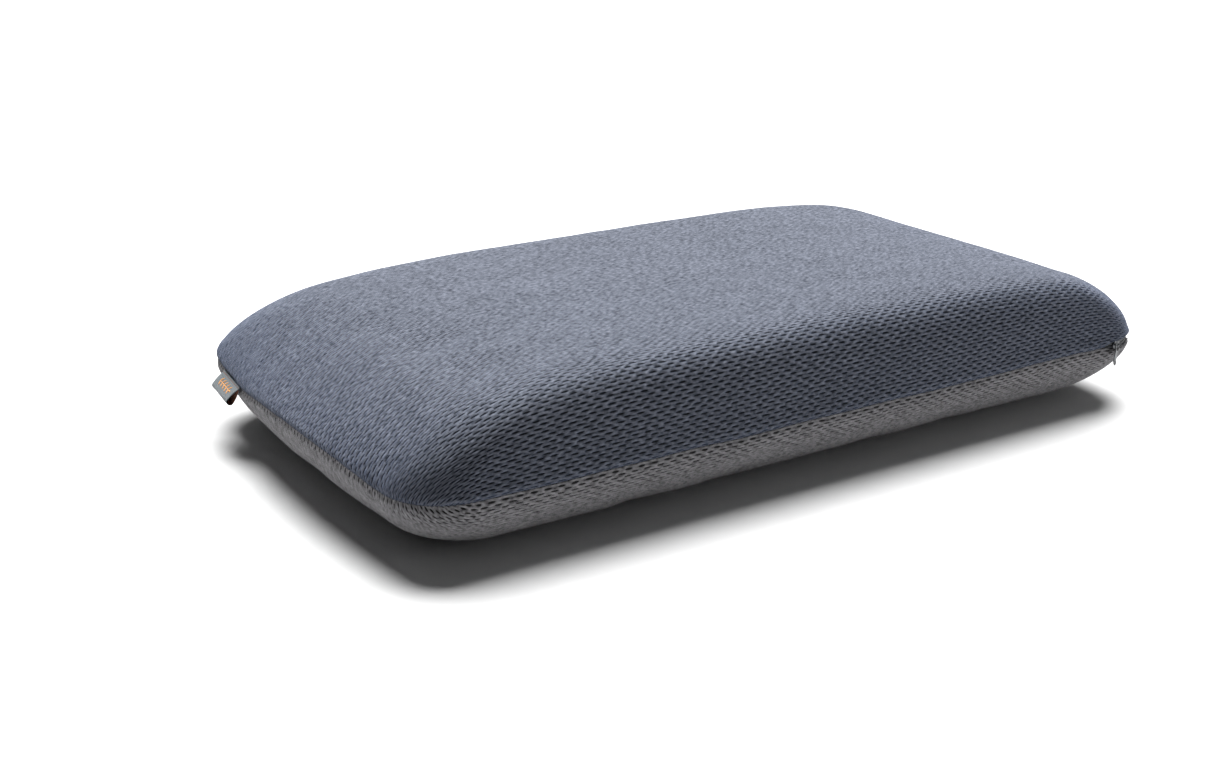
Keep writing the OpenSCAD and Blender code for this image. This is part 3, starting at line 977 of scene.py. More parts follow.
@dataclass
class KnittedPanel:
    """One panel of the cover: a knit laid over the stuffed form, with its openings sunk in."""

    cover: StuffedCover
    side: Side
    name: str
    node: str
    slot: str
    finish: SpacerKnit
    steps_along: int = 8
    steps_across: int = 2
    opening_depth: float = 1.3
    rib_height: float = 0.32
    crease: float = 1.7
    crease_width: float = 2.6
    pucker: float = 0.45
    swell: float = 0.5
    small_swell: float = 0.22
    hem_depth: float = 3.0
    mouth: float = 0.7
    pucker_place: float = 4.0
    pucker_width: float = 6.0
    pucker_length: float = 9.0
    swell_length: float = 55.0
    small_swell_length: float = 21.0

    def build(self) -> bpy.types.Object:
        """Lays the knit over the panel, turns its edge in and dresses it."""
        grid = self.cover.panels[self.side]
        solid, faces = grid.refined(grid.solid, 2)
        flat, _ = grid.refined(grid.flat, 2)
        edge, _ = grid.refined(grid.edge, 2)
        pattern = self.finish.pattern
        low, high = flat.min(0), flat.max(0)
        step_u = pattern.pitch / self.steps_along
        step_v = pattern.row / self.steps_across
        first_u, last_u = math.floor(low[0] / step_u), math.ceil(high[0] / step_u)
        first_v, last_v = math.floor(low[1] / step_v), math.ceil(high[1] / step_v)
        shape = bmesh.new()
        columns, rows = last_u - first_u, last_v - first_v
        bmesh.ops.create_grid(shape, x_segments=columns, y_segments=rows, size=0.5)
        bmesh.ops.scale(shape, vec=(columns * step_u, rows * step_v, 1), verts=shape.verts[:])
        middle = ((first_u + last_u) / 2 * step_u, (first_v + last_v) / 2 * step_v, 0)
        bmesh.ops.translate(shape, vec=middle, verts=shape.verts[:])
        self.wrap(shape, solid, flat, edge[:, 0], faces, math.hypot(step_u, step_v))
        self.turn_in(shape)
        piece = finish_piece(
            self.name, shape, self.finish.build(), [self.node], outward=False
        )
        self.map_knit(piece.data)
        log.info("%s: %d faces", self.name, len(piece.data.polygons))
        return piece

    def wrap(
        self,
        shape: bmesh.types.BMesh,
        solid: np.ndarray,
        flat: np.ndarray,
        edge: np.ndarray,
        faces: Sequence[Sequence[int]],
        reach: float,
    ) -> None:
        """Moves the flat knit onto the form, and notes each point's place in the lattice.

        Args:
            shape: The knit, laid flat. Points off the cloth are deleted.
            solid: Points of the form.
            flat: The same points on the flat cloth.
            edge: Cloth between each point and the panel's edge.
            faces: Faces of both.
            reach: A point this far off the cloth is still drawn to its edge.
        """
        pattern = self.finish.pattern
        lattice = shape.verts.layers.float_vector.new("lattice")
        for vert in shape.verts:
            vert[lattice] = (vert.co.x / pattern.pitch, vert.co.y / pattern.row, 0.0)
        triangles = np.array([(f[0], f[corner], f[corner + 1]) for f in faces for corner in (1, 2)])
        tree = BVHTree.FromPolygons([Vector(point) for point in flat], triangles.tolist())
        found = [tree.find_nearest(vert.co) for vert in shape.verts]
        near = np.array([distance <= reach for _, _, _, distance in found])
        hits = np.array([tuple(hit) for hit, _, _, _ in found])[near]
        corners = triangles[np.array([index for _, _, index, _ in found])[near]]
        laid = np.array([tuple(vert.co) for vert in shape.verts])[near]
        off = [vert for vert, kept in zip(shape.verts, near) if not kept]
        bmesh.ops.delete(shape, geom=off, context="VERTS")
        weights = corner_weights(hits, flat[corners])
        normals = vertex_normals(solid, triangles)[corners] * self.side.value
        place = (weights[:, :, None] * solid[corners]).sum(1)
        normal = (weights[:, :, None] * normals).sum(1)
        to_edge = (weights * edge[corners]).sum(1)
        lift = self.relief(laid[:, 0], laid[:, 1], to_edge) + self.unevenness(place, to_edge)
        place = place + normal * lift[:, None]
        if self.side is Side.LOWER:
            place[:, 2] = np.maximum(place[:, 2], 0.0)
        for vert, point in zip(shape.verts, place):
            vert.co = point
        if self.side is Side.LOWER:
            bmesh.ops.reverse_faces(shape, faces=shape.faces[:])

    def relief(self, u: np.ndarray, v: np.ndarray, to_edge: np.ndarray) -> np.ndarray:
        """Height of the knit's face: openings sink in, the ribs between them stand proud.

        Args:
            u: Places along the flat cloth.
            v: Places across it.
            to_edge: Cloth between each place and the panel's edge.

        Returns:
            Heights in millimetres.
        """
        pattern = self.finish.pattern
        row = np.round(v / pattern.row)
        on_row = np.abs(v / pattern.row - row) < 0.25
        along = u / pattern.pitch - 0.5 * row
        half_mouth = pattern.opening_half + self.mouth
        off_middle = np.abs(along - np.round(along)) * pattern.pitch / half_mouth
        depth = self.opening_depth * np.sqrt(np.maximum(1 - off_middle**2, 0.0))
        height = np.where(on_row, -0.4 * self.rib_height - depth, self.rib_height)
        return height * soft_share(to_edge, 1.0, 4.0)

    def unevenness(self, place: np.ndarray, to_edge: np.ndarray) -> np.ndarray:
        """Folds at the seam and soft swells of the cloth.

        Args:
            place: Points on the form.
            to_edge: Cloth between each point and the panel's edge.

        Returns:
            Heights in millimetres.
        """
        waves = np.array(
            [
                (
                    noise.noise(Vector((x / self.pucker_length, y / self.pucker_length, z / 40))),
                    self.swell * noise.noise(Vector((x, y, z)) / self.swell_length)
                    + self.small_swell * noise.noise(Vector((x, y, z)) / self.small_swell_length),
                )
                for x, y, z in place
            ]
        )
        crease = -self.crease * np.exp(-((to_edge / self.crease_width) ** 2))
        from_pucker = (to_edge - self.pucker_place) / self.pucker_width
        pull = self.pucker * waves[:, 0] * np.exp(-(from_pucker**2))
        return crease + pull + waves[:, 1] * soft_share(to_edge, 2.0, 25.0)

    def map_knit(self, mesh: bpy.types.Mesh) -> None:
        """Turns the noted places in the lattice into the panel's "knit" map.

        Args:
            mesh: The finished panel.
        """
        places = np.zeros(len(mesh.vertices) * 3, dtype=np.float32)
        mesh.attributes["lattice"].data.foreach_get("vector", places)
        index = np.zeros(len(mesh.loops), dtype=np.int32)
        mesh.loops.foreach_get("vertex_index", index)
        layer = mesh.uv_layers.new(name="knit")
        layer.data.foreach_set("uv", places.reshape(-1, 3)[index, :2].ravel())

    def turn_in(self, shape: bmesh.types.BMesh) -> None:
        """Turns the panel's edge in behind the seam.

        Args:
            shape: The wrapped panel.
        """
        rim = [edge for edge in shape.edges if edge.is_boundary]
        grown = bmesh.ops.extrude_edge_only(shape, edges=rim)["geom"]
        for vert in (item for item in grown if isinstance(item, bmesh.types.BMVert)):
            inward = Vector((-vert.co.x / 3, -vert.co.y, 0)).normalized()
            vert.co += inward * self.hem_depth


def soft_share(values: np.ndarray, start: float, end: float) -> np.ndarray:
    """Rises softly from 0 at start to 1 at end, for many values at once.

    Args:
        values: Where to read the curve.
        start: Value at which it leaves 0.
        end: Value at which it reaches 1.

    Returns:
        A share from 0 to 1 for each value.
    """
    share = np.clip((values - start) / (end - start), 0.0, 1.0)
    return share * share * (3 - 2 * share)


def vertex_normals(points: np.ndarray, triangles: np.ndarray) -> np.ndarray:
    """Works out smooth normals.

    Args:
        points: Points of a mesh.
        triangles: Its triangles.

    Returns:
        One unit normal for each point.
    """
    first, second, third = (points[triangles[:, corner]] for corner in range(3))
    face_normals = np.cross(second - first, third - first)
    normals = np.zeros_like(points)
    for corner in range(3):
        np.add.at(normals, triangles[:, corner], face_normals)
    return normals / np.maximum(np.linalg.norm(normals, axis=1), 1e-9)[:, None]


def corner_weights(places: np.ndarray, corners: np.ndarray) -> np.ndarray:
    """Says how much each corner of a flat triangle counts at a place in it.

    Args:
        places: A place for each triangle.
        corners: The three corners of each triangle.

    Returns:
        Three weights for each place, which add up to 1.
    """
    first, second, third = (corners[:, corner, :2] for corner in range(3))
    there, one, two = places[:, :2] - first, second - first, third - first
    area = one[:, 0] * two[:, 1] - two[:, 0] * one[:, 1]
    area = np.where(np.abs(area) < 1e-9, 1e-9, area)
    share_two = (there[:, 0] * two[:, 1] - two[:, 0] * there[:, 1]) / area
    share_three = (one[:, 0] * there[:, 1] - there[:, 0] * one[:, 1]) / area
    weights = np.stack([1 - share_two - share_three, share_two, share_three], axis=1)
    weights = np.clip(weights, 0.0, 1.0)
    return weights / weights.sum(1)[:, None]


# ---------------------------------------------------------------- the zip, the tag and the seams


@dataclass
class SeamPath:
    """Line of the seam, counted in millimetres from the front end of the zip round the pad."""

    form: PadForm
    lead: float = 12.0
    hub: tuple[float, float] = field(init=False)
    stretches: list[tuple[float, Callable]] = field(init=False)

    def __post_init__(self) -> None:
        """Finds the back right corner's centre, and the stretches between the corners."""
        self.hub = self.form.ring(Side.UPPER, 0.0, 0.0, (0, 0, 0), 0.0).hub
        self.stretches = self.lay_out()

    def lay_out(self) -> list[tuple[float, Callable[[float], tuple[Vector, Vector]]]]:
        """Stretches of the line, each with its length and what gives its points."""
        hub_x, hub_y = self.hub
        corner, bow, half = self.form.corner, self.form.bow, self.form.length / 2
        reach = math.asin(hub_y / (bow - corner))

        def straight(start: Vector, along: Vector, out: Vector) -> Callable:
            return lambda run: (start + along * run, out)

        def bend(middle: Vector, radius: float, first: float) -> Callable:
            def place(run: float) -> tuple[Vector, Vector]:
                angle = first + run / radius
                out = Vector((math.cos(angle), math.sin(angle), 0))
                return middle + out * radius, out

            return place

        turn = math.pi / 2 - reach
        long_side = 2 * hub_x
        right, left = Vector((1, 0, 0)), Vector((-1, 0, 0))
        front, back = Vector((0, -1, 0)), Vector((0, 1, 0))
        half_width = self.form.width / 2
        return [
            (self.lead, straight(Vector((hub_x - self.lead, -half_width, 0)), right, front)),
            (corner * turn, bend(Vector((hub_x, -hub_y, 0)), corner, -math.pi / 2)),
            (2 * bow * reach, bend(Vector((half - bow, 0, 0)), bow, -reach)),
            (corner * turn, bend(Vector((hub_x, hub_y, 0)), corner, reach)),
            (long_side, straight(Vector((hub_x, half_width, 0)), left, back)),
            (corner * turn, bend(Vector((-hub_x, hub_y, 0)), corner, math.pi / 2)),
            (2 * bow * reach, bend(Vector((bow - half, 0, 0)), bow, math.pi - reach)),
            (corner * turn, bend(Vector((-hub_x, -hub_y, 0)), corner, math.pi + reach)),
            (long_side - self.lead, straight(Vector((-hub_x, -half_width, 0)), right, front)),
        ]

    def point(self, run: float, depth: float = 0.0, high: float = 0.0) -> Vector:
        """Point near the seam.

        Args:
            run: How far along the seam.
            depth: How far behind the outer face.
            high: How far above the seam.

        Returns:
            The point in millimetres.
        """
        for length, place in self.stretches:
            if run <= length:
                break
            run -= length
        spot, out = place(run)
        return spot - out * depth + Vector((0, 0, self.form.seam + high))

    def length_to(self, count: int) -> float:
        """Length of the first few stretches."""
        return sum(length for length, _ in self.stretches[:count])

    @property
    def zip_length(self) -> float:
        """Length of the zip, with its straight ends."""
        return self.length_to(4) + self.lead

    @property
    def total(self) -> float:
        """Length of the whole seam."""
        return self.length_to(9)


def steps_between(start: float, end: float, spacing: float) -> list[float]:
    """Evenly spaced numbers from start to end.

    Args:
        start: First number.
        end: Last number.
        spacing: About how far apart they are.

    Returns:
        The numbers.
    """
    count = max(round((end - start) / spacing), 1)
    return [start + (end - start) * step / count for step in range(count + 1)]


@dataclass
class StitchRow:
    """A row of machine stitches: short, round dashes of thread on a line."""

    name: str
    slot: str
    finish: SpunThread
    replaced: Sequence[str]
    spacing: float = 3.0
    dash: float = 2.3
    radius: float = 0.28

    def build(self, places: Iterable[tuple[Vector, Vector]]) -> bpy.types.Object:
        """Makes the row.

        Args:
            places: The middle of each stitch and its direction.

        Returns:
            The finished piece.
        """
        size = Matrix.Diagonal((self.dash / 2, self.radius, self.radius, 1))
        dash = bmesh.new()
        bmesh.ops.create_uvsphere(dash, u_segments=6, v_segments=5, radius=1, matrix=size)
        bmesh.ops.recalc_face_normals(dash, faces=dash.faces[:])
        turned = [
            Matrix.Translation(middle) @ direction.to_track_quat("X", "Z").to_matrix().to_4x4()
            for middle, direction in places
        ]
        shape = repeat_shape(dash, turned)
        return finish_piece(self.name, shape, self.finish.build(), self.replaced, outward=False)


@dataclass
class Zip:
    """Coil zip round the right end: two tapes with rolled edges, two coils, stitches and tacks."""

    path: SeamPath
    tape_finish: WovenRibbon
    coil_finish: SpunThread
    thread_finish: SpunThread
    tape_high: float = 10.8
    tape_depth: float = 2.85
    tape_thick: float = 0.45
    coil_pitch: float = 1.6
    coil_depth: float = 4.3
    coil_half_depth: float = 0.62
    coil_high: float = 1.1
    coil_half_high: float = 0.92
    coil_wire: float = 0.26
    coil_inset: float = 13.0
    stitch_high: float = 5.5
    stitch_depth: float = 2.62
    stitch_inset: float = 6.0
    tack_start: float = 1.5
    tack_end: float = 4.5

    def lean(self, side: Side, high: float) -> float:
        """How far the panel slopes inwards at a height from the seam."""
        form = self.path.form
        beyond = max(high - form.band, 0.0)
        rise = form.top(form.length / 2) - form.seam if side is Side.UPPER else form.seam
        shoulder = form.shoulders(side)[2]
        return shoulder.inset(beyond / (rise - form.band))

    def build(self) -> None:
        """Builds every piece of the zip that doesn't move."""
        for side, word in ((Side.UPPER, "upper"), (Side.LOWER, "lower")):
            self.build_tape(side, f"zip_tape_{word}")
            self.build_coil(side, f"zip_coil_{word}")
            self.build_stitches(side, f"zip_stitch_{word}")
        length = self.path.zip_length
        self.build_tack("zip_tack_front", self.tack_start, self.tack_end)
        self.build_tack("zip_tack_back", length - self.tack_end, length - self.tack_start)

    def build_tape(self, side: Side, node: str) -> None:
        """Draws a tape along the seam, with its inner edge rolled over the coil.

        Args:
            side: Above or below the seam.
            node: CAD node that it stands for.
        """
        depth, thick = self.tape_depth, self.tape_thick
        front = [(self.tape_high, 0.0), (7.0, 0.0), (4.0, 0.0), (2.9, 0.0), (2.3, -0.16), (1.5, -0.25)]
        nose = [(0.7, -0.2), (0.3, 0.05), (0.25, 0.35), (0.5, 0.5), (1.4, 0.5), (2.9, thick)]
        behind = [(4.0, thick), (7.0, thick), (self.tape_high, thick)]
        profile = front + nose + behind
        sections = []
        for run in steps_between(0.5, self.path.zip_length - 0.5, 3.0):
            sections.append(
                [
                    self.path.point(run, depth + set_back + self.lean(side, high), side.value * high)
                    for high, set_back in profile
                ]
            )
        shape = bmesh.new()
        sweep(shape, sections, closed=True)
        piece = finish_piece(node + "_woven", shape, self.tape_finish.build(), [node])
        log.info("%s: %d faces", piece.name, len(piece.data.polygons))

    def build_coil(self, side: Side, node: str) -> None:
        """Winds a coil, whose turns reach between those of the other one.

        Args:
            side: Above or below the seam.
            node: CAD node that it stands for.
        """
        first, last = self.coil_inset, self.path.zip_length - self.coil_inset
        turns = int((last - first) / self.coil_pitch)
        corners = 6
        curve = bpy.data.curves.new(node, "CURVE")
        curve.dimensions = "3D"
        curve.bevel_depth = self.coil_wire
        curve.bevel_resolution = 1
        curve.use_fill_caps = True
        line = curve.splines.new("POLY")
        line.points.add(turns * corners)
        shift = 0.5 * self.coil_pitch if side is Side.UPPER else 0.0
        for step, spot in enumerate(line.points):
            angle = math.tau * step / corners
            point = self.path.point(
                first + shift + self.coil_pitch * step / corners,
                self.coil_depth + self.coil_half_depth * math.sin(angle),
                side.value * (self.coil_high + self.coil_half_high * math.cos(angle)),
            )
            spot.co = (*point, 1.0)
        holder = bpy.data.objects.new(node, curve)
        bpy.context.scene.collection.objects.link(holder)
        mesh = bpy.data.meshes.new_from_object(
            holder.evaluated_get(bpy.context.evaluated_depsgraph_get())
        )
        bpy.data.objects.remove(holder)
        shape = bmesh.new()
        shape.from_mesh(mesh)
        bpy.data.meshes.remove(mesh)
        bmesh.ops.remove_doubles(shape, verts=shape.verts[:], dist=0.001)
        piece = finish_piece(node + "_wound", shape, self.coil_finish.build(), [node])
        log.info("%s: %d faces", piece.name, len(piece.data.polygons))

    def build_stitches(self, side: Side, node: str) -> None:
        """Sews the tape to its panel.

        Args:
            side: Above or below the seam.
            node: CAD node that it stands for.
        """
        row = StitchRow(node + "_sewn", "cover_thread", self.thread_finish, [node], radius=0.1)
        depth = self.stitch_depth + self.lean(side, self.stitch_high)
        high = side.value * self.stitch_high
        places = []
        last = self.path.zip_length - self.stitch_inset
        for run in steps_between(self.stitch_inset, last, row.spacing):
            ahead = self.path.point(run + 0.5, depth, high)
            here = self.path.point(run, depth, high)
            places.append((here, ahead - here))
        row.build(places)

    def build_tack(self, node: str, start: float, end: float) -> None:
        """Sews a bar tack across both tapes.

        Args:
            node: CAD node that it stands for.
            start: Where it begins along the seam.
            end: Where it ends.
        """
        row = StitchRow(
            node + "_sewn", "cover_thread", self.thread_finish, [node], spacing=0.5, dash=5.6, radius=0.2
        )
        upright = Vector((0, 0, 1))
        runs = steps_between(start, end, row.spacing)
        row.build([(self.path.point(run, self.stitch_depth), upright) for run in runs])


@dataclass
class ZipSlider:
    """Cast slider with its bridge, and the pull tab that hangs from it."""

    path: SeamPath
    finish: CastMetal
    angle: float
    pivot: float
    length: float = 9.0
    half_high: float = 3.3
    outer_plate: float = 47.5
    inner_plate: float = 43.4
    plate_thick: float = 1.2
    nose: float = 1.2
    chamfer: float = 0.9
    rail_low: float = 2.4
    rail_top: float = 46.4
    bridge_top: float = 51.0
    bridge_half: float = 2.35
    strap: float = 0.42
    lean: float = 50.0
    lift: float = 24.0
    pull_length: float = 21.0
    pull_half: float = 2.5
    pull_thick: float = 0.9
    eye: float = 2.6
    eye_bar: float = 0.9
    hole: float = 1.3

    @classmethod
    def from_cad(cls, path: SeamPath, finish: CastMetal) -> "ZipSlider":
        """Takes the slider's angle round its corner and the pull's pivot from the CAD's joints."""
        places = {joint["name"]: Vector(joint["pos_m"]) for joint in frame["joints"]}
        arm = (places["pull_lift"] - places["zip_travel"]) / MM
        return cls(
            path,
            finish,
            angle=round(math.degrees(math.atan2(arm.y, arm.x)), 2),
            pivot=round(math.hypot(arm.x, arm.y), 1),
        )

    @property
    def place(self) -> Matrix:
        """Where the slider's own axes lie: +X points out of the pad and +Y along the seam."""
        hub_x, hub_y = self.path.hub
        middle = Matrix.Translation((hub_x, -hub_y, self.path.form.seam))
        return middle @ Matrix.Rotation(math.radians(self.angle), 4, "Z")

    def outline(self) -> list[tuple[float, float]]:
        """Outline of the slider from outside, as places along the seam and up."""
        mouth, tail = -self.length / 2, self.length / 2
        waist = self.half_high - self.chamfer
        upper = [
            (mouth, self.nose), (mouth + 1.0, waist), (mouth + 2.4, self.half_high), (0.4, self.half_high),
            (tail - 0.8, waist), (tail, waist - self.chamfer),
        ]
        return upper + [(along, -high) for along, high in reversed(upper)]

    def add_plate(self, shape: bmesh.types.BMesh, low: float, high: float) -> None:
        """Adds a plate between two radii, bent to the corner.

        Args:
            shape: Shape to add to.
            low: Inner radius.
            high: Outer radius.
        """
        before = set(shape.verts)
        face = shape.faces.new([shape.verts.new((low, along, up)) for along, up in self.outline()])
        grown = bmesh.ops.extrude_face_region(shape, geom=[face])["geom"]
        raised = [item for item in grown if isinstance(item, bmesh.types.BMVert)]
        bmesh.ops.translate(shape, vec=(high - low, 0, 0), verts=raised)
        for cut in (-3.0, -1.5, 0.0, 1.5, 3.0):
            fresh = [vert for vert in shape.verts if vert not in before]
            parts = fresh + list({e for v in fresh for e in v.link_edges}) + list(
                {f for v in fresh for f in v.link_faces}
            )
            bmesh.ops.bisect_plane(shape, geom=parts, plane_co=(0, cut, 0), plane_no=(0, 1, 0))
        for vert in shape.verts:
            if vert not in before:
                turn = vert.co.y / self.outer_plate
                vert.co = Vector((vert.co.x * math.cos(turn), vert.co.x * math.sin(turn), vert.co.z))

    def add_block(self, shape: bmesh.types.BMesh, low: Point, high: Point) -> None:
        """Adds a block between two corners.

        Args:
            shape: Shape to add to.
            low: Lowest corner.
            high: Highest corner.
        """
        size = Vector(high) - Vector(low)
        middle = (Vector(high) + Vector(low)) / 2
        matrix = Matrix.Translation(middle) @ Matrix.Diagonal((*size, 1))
        bmesh.ops.create_cube(shape, size=1, matrix=matrix)

    def build(self) -> None:
        """Builds the slider and its pull tab."""
        shape = bmesh.new()
        self.add_plate(shape, self.outer_plate, self.outer_plate + self.plate_thick)
        self.add_plate(shape, self.inner_plate, self.inner_plate + self.plate_thick)
        rail_half = self.length / 2 - 1.2
        for side in (-1, 1):
            span = sorted((side * self.rail_low, side * (self.half_high - 0.05)))
            self.add_block(
                shape, (self.inner_plate + 0.8, -rail_half, span[0]), (self.rail_top, rail_half, span[1])
            )
        self.add_block(
            shape,
            (self.inner_plate + 1, self.chamfer - self.length / 2, -0.35),
            (self.outer_plate + 1, -1.4, 0.35),
        )
        self.add_bridge(shape)
        bmesh.ops.transform(shape, matrix=self.place, verts=shape.verts[:])
        piece = finish_piece(
            "slider_cast", shape, self.finish.build(), ["slider_body"], "slider"
        )
        soften(piece, 0.22)
        self.build_pull()

    def add_bridge(self, shape: bmesh.types.BMesh) -> None:
        """Adds the arched strap on the outer plate, which holds the pull tab.

        Args:
            shape: Shape to add to.
        """
        base = self.outer_plate + self.plate_thick - 0.5
        rise = self.bridge_top - base
        sections = []
        for step in range(15):
            angle = math.pi * step / 14
            along = -math.cos(angle)
            along = math.copysign(abs(along) ** 0.7, along) * self.bridge_half
            out = base + rise * math.sin(angle) ** 0.45
            tangent = Vector((math.cos(angle), max(math.sin(angle), 0.25), 0)).normalized()
            across = Vector((tangent.y, -tangent.x, 0)) * self.strap
            up = Vector((0, 0, self.strap * 1.15))
            middle = Vector((out, along, 0))
            corners = [across + up, up - across, -across - up, across - up]
            sections.append([middle + corner for corner in corners])
        sweep(shape, sections, closed=True)

    def build_pull(self) -> None:
        """Cuts the pull tab from a plate, with an eye round the bridge and a hole in its end."""
        shape = bmesh.new()
        ring_low = -(self.eye + self.eye_bar / 2)
        end_low = -(self.pull_length - self.pull_half)
        outer = self.eye + self.eye_bar
        neck = self.pull_half * 0.82
        loop = []
        start = math.asin(neck / outer)
        for step in range(25):
            angle = -math.pi / 2 + start + (math.tau - 2 * start) * step / 24
            loop.append((outer * math.cos(angle), ring_low + outer * math.sin(angle)))
        loop.append((-neck, ring_low - outer - 1.0))
        for step in range(17):
            angle = math.pi + math.pi * step / 16
            loop.append((self.pull_half * math.cos(angle), end_low + self.pull_half * math.sin(angle)))
        loop.append((neck, ring_low - outer - 1.0))
        rings = [loop]
        for middle, radius in ((ring_low, self.eye), (end_low, self.hole)):
            rings.append(
                [
                    (radius * math.cos(math.tau * k / 28), middle + radius * math.sin(math.tau * k / 28))
                    for k in range(28)
                ]
            )
        edges = []
        for ring in rings:
            verts = [shape.verts.new((-self.pull_thick / 2, across, up)) for across, up in ring]
            edges += [shape.edges.new(pair) for pair in zip(verts, verts[1:] + verts[:1])]
        bmesh.ops.triangle_fill(shape, edges=edges, use_beauty=True, use_dissolve=False)
        grown = bmesh.ops.extrude_face_region(shape, geom=shape.faces[:])["geom"]
        raised = [item for item in grown if isinstance(item, bmesh.types.BMVert)]
        bmesh.ops.translate(shape, vec=(self.pull_thick, 0, 0), verts=raised)
        bmesh.ops.dissolve_limit(
            shape, angle_limit=math.radians(1), verts=shape.verts[:], edges=shape.edges[:]
        )
        hinge = self.place @ Matrix.Translation((self.pivot, 0, 0))
        hinge = hinge @ Matrix.Rotation(math.radians(-self.lean), 4, "X")
        hinge = hinge @ Matrix.Rotation(math.radians(-self.lift), 4, "Y")
        bmesh.ops.transform(shape, matrix=hinge, verts=shape.verts[:])
        piece = finish_piece(
            "pull_tab_cast", shape, self.finish.build(), ["pull_tab"], "pull"
        )
        soften(piece, 0.2)


@dataclass
class SideTag:
    """Woven ribbon folded into a loop, with a sprig in amber yarn on its outer face."""

    form: PadForm
    ribbon: WovenRibbon
    yarn: SpunThread
    place_back: float = 110.0
    length: float = 46.0
    reach: float = 15.0
    fold: float = 5.0
    sag: float = 50.0
    thick: float = 0.45
    root: float = 1.0
    sprig_length: float = 30.0
    pairs: int = 5
    leaf_length: float = 4.6
    leaf_width: float = 1.4

    @property
    def place(self) -> Matrix:
        """Where the tag's own axes lie: +X runs out of the seam and down, +Y along the seam."""
        bow = self.form.bow
        turn = math.pi - math.asin(self.place_back / bow)
        middle = Matrix.Translation((bow - self.form.length / 2, 0, self.form.seam))
        out = Matrix.Rotation(turn, 4, "Z") @ Matrix.Translation((bow + 0.1, 0, 0))
        return middle @ out @ Matrix.Rotation(math.radians(self.sag), 4, "Y")

    def height(self, out: float, along: float) -> float:
        """Height of the upper layer over the loop's middle.

        Args:
            out: Distance from the seam.
            along: Place along the tag; the near end stands more open.

        Returns:
            The height in millimetres.
        """
        middle = self.reach - self.fold / 2
        open_share = 0.85 + 0.3 * (0.5 + along / self.length)
        share = min(max(out / middle, 0.0), 1.0)
        return self.fold / 2 * open_share * math.sin(math.pi / 2 * share) ** 0.75

    def build(self) -> None:
        """Builds the ribbon and its sprig."""
        middle = self.reach - self.fold / 2
        outs = [-self.root, 0.0, 1.5, 3.0, 5.0, 7.0, 9.0, 11.0, middle]
        sections = []
        for along in steps_between(-self.length / 2, self.length / 2, 1.5):
            ripple = 0.35 * noise.noise(Vector((along / 14, 3.0, 1.0)))
            upper = [(out, self.height(out, along)) for out in outs]
            tall = upper[-1][1]
            fold = [
                (middle + (self.fold / 2 + ripple) * math.sin(angle), tall * math.cos(angle))
                for angle in (math.pi * step / 10 for step in range(1, 10))
            ]
            lower = [(out, -high) for out, high in reversed(upper)]
            sections.append([(out, along, high + ripple) for out, high in upper + fold + lower])
        shape = bmesh.new()
        sweep(shape, sections, closed=False)
        bmesh.ops.recalc_face_normals(shape, faces=shape.faces[:])
        bmesh.ops.solidify(shape, geom=shape.faces[:], thickness=self.thick)
        inner = shape.faces.layers.float.new("inner")
        for face in shape.faces:
            to_axis = Vector((middle, face.calc_center_median().y, 0)) - face.calc_center_median()
            face[inner] = 1.0 if face.normal.dot(to_axis) > 0.3 else 0.0
        bmesh.ops.transform(shape, matrix=self.place, verts=shape.verts[:])
        tag = finish_piece("side_tag_ribbon", shape, self.ribbon.build(), ["side_tag"])
        sprig = self.build_sprig()

    def build_sprig(self) -> bpy.types.Object:
        """Weaves the sprig: a stem with pairs of leaves, just proud of the ribbon."""
        shape = bmesh.new()
        out = self.reach * 0.42
        stem = Matrix.Translation((out, 0, 0)) @ Matrix.Diagonal((0.35, self.sprig_length / 2, 0.2, 1))
        bmesh.ops.create_uvsphere(shape, u_segments=8, v_segments=24, radius=1, matrix=stem)
        leaves = [
            (side, self.sprig_length * (step / self.pairs - 0.45))
            for step in range(self.pairs)
            for side in (-1, 1)
        ]
        leaves.append((0, self.sprig_length * 0.4))
        for side, along in leaves:
            turn = Matrix.Rotation(math.radians(90 - side * 52), 4, "Z")
            size = Matrix.Diagonal((self.leaf_length / 2, self.leaf_width / 2, 0.28, 1))
            shift = Matrix.Translation((self.leaf_length / 2, 0, 0))
            matrix = Matrix.Translation((out, along, 0)) @ turn @ shift @ size
            bmesh.ops.create_uvsphere(shape, u_segments=12, v_segments=6, radius=1, matrix=matrix)
        for vert in shape.verts:
            high = self.height(vert.co.x, vert.co.y) + 0.1
            high += 0.35 * noise.noise(Vector((vert.co.y / 14, 3.0, 1.0)))
            vert.co.z = high + max(vert.co.z, -0.1) * 0.9
        bmesh.ops.transform(shape, matrix=self.place, verts=shape.verts[:])
        return finish_piece("tag_sprig", shape, self.yarn.build(), ["tag_motif"])


